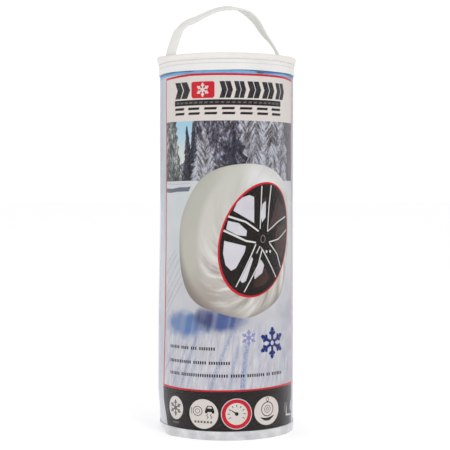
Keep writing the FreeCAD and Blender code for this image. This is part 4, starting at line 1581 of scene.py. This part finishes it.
def gather(piece, low, high, limit, ring_node, band_node):
    """Pleats of the rolled textile: drawn in under both elastics, full between them, and dished on top."""
    ring_low, ring_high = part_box(ring_node)
    band_low, band_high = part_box(band_node)
    cord = (ring_high.z - ring_low.z) / 2
    circle = ring_high.x - cord
    waist = (band_low.z + band_high.z) / 2
    for vertex in piece.data.vertices:
        x, y, z = vertex.co
        reach = math.hypot(x, y)
        turn = math.degrees(math.atan2(x, -y))
        tall = (z - low) / (high - low)
        side = smooth_step(reach, limit * 0.72, limit * 0.96)
        pleat = wobble(math.cos(math.radians(turn)) * 4.5, math.sin(math.radians(turn)) * 4.5, z * 9 + low)
        fine = wobble(math.cos(math.radians(turn)) * 11, math.sin(math.radians(turn)) * 11, z * 16 + 3)
        draw = math.exp(-((z - waist) / 0.010) ** 2)
        new_reach = reach + side * ((pleat * 1.5 + fine * 0.8) * MM * (1 - 0.6 * draw) - 1.4 * MM * draw)
        top = smooth_step(tall, 0.9, 0.985) * (1 - side)
        spokes = math.sin(math.radians(turn) * 26 + pleat * 3) * 0.55 + fine * 0.5
        near = math.exp(-((reach - circle) / 0.013) ** 2)
        dish = 2.6 * MM * smooth_step(circle - reach, 0.0, 0.012)
        press = 1.1 * MM * math.exp(-((reach - circle) / 0.003) ** 2)
        new_z = z + top * (spokes * 1.1 * MM * near * (1 - math.exp(-((reach - circle) / 0.002) ** 2)) - dish
                           - press)
        new_reach = min(new_reach, limit - 0.2 * MM if abs(z - waist) > 0.008 else band_high.x - 1.3 * MM)
        scale = new_reach / max(reach, 1e-9)
        top_limit = ring_high.z - cord * 1.9 if top else high
        vertex.co = (x * scale, y * scale, max(min(new_z, top_limit), low + 0.1 * MM))


def cloth_map(piece):
    """UV map in mm for a round piece: round and up on its side, across on its flat ends."""
    layer = piece.data.uv_layers.new(name="cloth")
    for face in piece.data.polygons:
        flat_end = abs(face.normal.z) > 0.6
        middle = math.atan2(face.center.x, -face.center.y)
        for corner in face.loop_indices:
            x, y, z = piece.data.vertices[piece.data.loops[corner].vertex_index].co
            turn = math.atan2(x, -y)
            if abs(turn - middle) > math.pi:
                turn += math.copysign(math.tau, middle)
            layer.data[corner].uv = (x / MM, y / MM) if flat_end else (turn * 58, z / MM)


BRAID_TURNS = 46


def cord_ring(name, node, material):
    """Covered elastic cord lying in a ring, with its braid raised as a rope-like relief."""
    low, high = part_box(node)
    minor = (high.z - low.z) / 2
    major = high.x - minor
    level = (low.z + high.z) / 2
    rings = []
    count, sides = 168, 12
    for i in range(count):
        turn = i * FULL_TURN / count
        sag = 0.35 * MM * wobble(turn * 0.05, level * 50)
        ring = []
        for k in range(sides):
            a = math.tau * k / sides
            swell_out = 1 + 0.05 * math.sin(a * 2 + math.radians(turn) * BRAID_TURNS)
            ring.append(around(major + sag + minor * 0.97 * swell_out * math.cos(a), turn,
                               level + minor * 0.95 * swell_out * math.sin(a)))
        rings.append(ring)

    def flat(i, j):
        return (i * major / MM * math.tau / count, j * minor / MM * math.tau / sides)
    return loft(name, rings, flat, [material], True)


def waist_band(name, node):
    """Broad white elastic round the roll, shirred by its own stretch."""
    low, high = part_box(node)

    def radius(turn, share):
        shirr = 0.18 * MM * math.sin(math.radians(turn) * 60) * math.sin(share * math.pi
                                                                         * 4) + 0.15 * MM * wobble(turn * 0.1,
                                                                                                   share * 3)
        return high.x - 0.25 * MM + shirr
    return hoop(name, -180, 180, 1.5, radius, (low.z, high.z, 11), 1.0 * MM, [WHITE_BAND])


def rolled_sock(which):
    low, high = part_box(which + "_cover")
    form = roll_form(which + "_textile", low.z + 1.5 * MM, high.z - 1.5 * MM, high.x - 2.5 * MM, 9 * MM)
    form.data.materials.append(SOCK_CLOTH)
    swell(form, 2.2 * MM)
    gather(form, low.z, high.z, high.x, which + "_front_elastic", which + "_rear_elastic")
    cloth_map(form)
    form.data.polygons.foreach_set("use_smooth", [True] * len(form.data.polygons))
    soft = form.modifiers.new("soft", "SUBSURF")
    soft.levels = soft.render_levels = 1
    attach(form, "bag")
    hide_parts(which + "_cover")
    ring = cord_ring(which + "_red_cord", which + "_front_elastic", RED_CORD)
    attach(ring, "bag")
    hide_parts(which + "_front_elastic")
    band = waist_band(which + "_white_band", which + "_rear_elastic")
    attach(band, "bag")
    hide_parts(which + "_rear_elastic")


def leaflet_print(tree, place):
    """Blank blocks and rules in pale grey on paper."""
    u, v, _ = parts_of(tree, place)
    row = calc(tree, "FLOORED_MODULO", v, 4.0)
    word_place = vector_of(tree, times(tree, u, 0.25), calc(tree, "FLOOR", calc(tree, "DIVIDE", v, 4.0)))
    words = ease(tree, speckle(tree, word_place, 1.0, 1.0), 0.44, 0.46)
    rules = times(tree, times(tree, ease(tree, row, 2.6, 2.7), ease(tree, v, 6.2, 5.8)), words)
    margin = times(tree, ease(tree, calc(tree, "ABSOLUTE", u), 31.0, 30.4),
                   ease(tree, calc(tree, "ABSOLUTE", v), 27, 26.4))
    block_row = times(tree, ease(tree, v, 8.0, 8.3), ease(tree, calc(tree, "ABSOLUTE", u), 28.0, 27.6))
    shade = times(tree, calc(tree, "MAXIMUM", rules, block_row), margin)
    colour = blend_colours(tree, times(tree, shade, 0.75), rgb(226, 226, 222), rgb(96, 100, 106))
    return print_grain(tree, place, colour), speckle(tree, place, 1.2)


def leaflet():
    """Paper folded three times, its layers a little sprung."""
    low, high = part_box("instruction_leaflet")
    paper = finish_material("leaflet_paper", leaflet_print, 0.75, 0.1, 0.00005)
    wide, deep = (high.x - low.x) / 2, (high.y - low.y) / 2
    middle = (low + high) / 2
    layers = 5
    step = (high.z - low.z - 0.14 * MM) / layers
    line = []
    for layer in range(layers):
        way = 1 if layer % 2 == 0 else -1
        level = low.z + 0.14 * MM + layer * step
        for k in range(9):
            share = k / 8
            spring = 0.12 * MM * math.sin(share * math.pi) * (1 if layer == layers - 1 else 0.3)
            line.append(((-1 + 2 * share) * way * (deep - (0.6 + 0.3 * layer) * MM), level + spring))
        if layer < layers - 1:
            edge = way * (deep - (0.2 + 0.3 * layer) * MM)
            line.append((edge, level + step / 2))
    laid = running_lengths(line)
    top_start = laid[-9]

    def place(i, j):
        y, z = line[j]
        return (middle.x + (-wide + 2 * wide * i / 12), middle.y + y, z)

    def flat(i, j):
        return ((-wide + 2 * wide * i / 12) / MM, (laid[j] - top_start - deep) / MM)
    piece = slab("folded_leaflet", (13, len(line)), place, flat, 0.12 * MM, [paper])
    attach(piece, "bag")
    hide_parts("instruction_leaflet")


rolled_sock("sock_lower")
rolled_sock("sock_upper")
leaflet()


for unit in UNITS:
    bpy.data.objects.remove(unit)
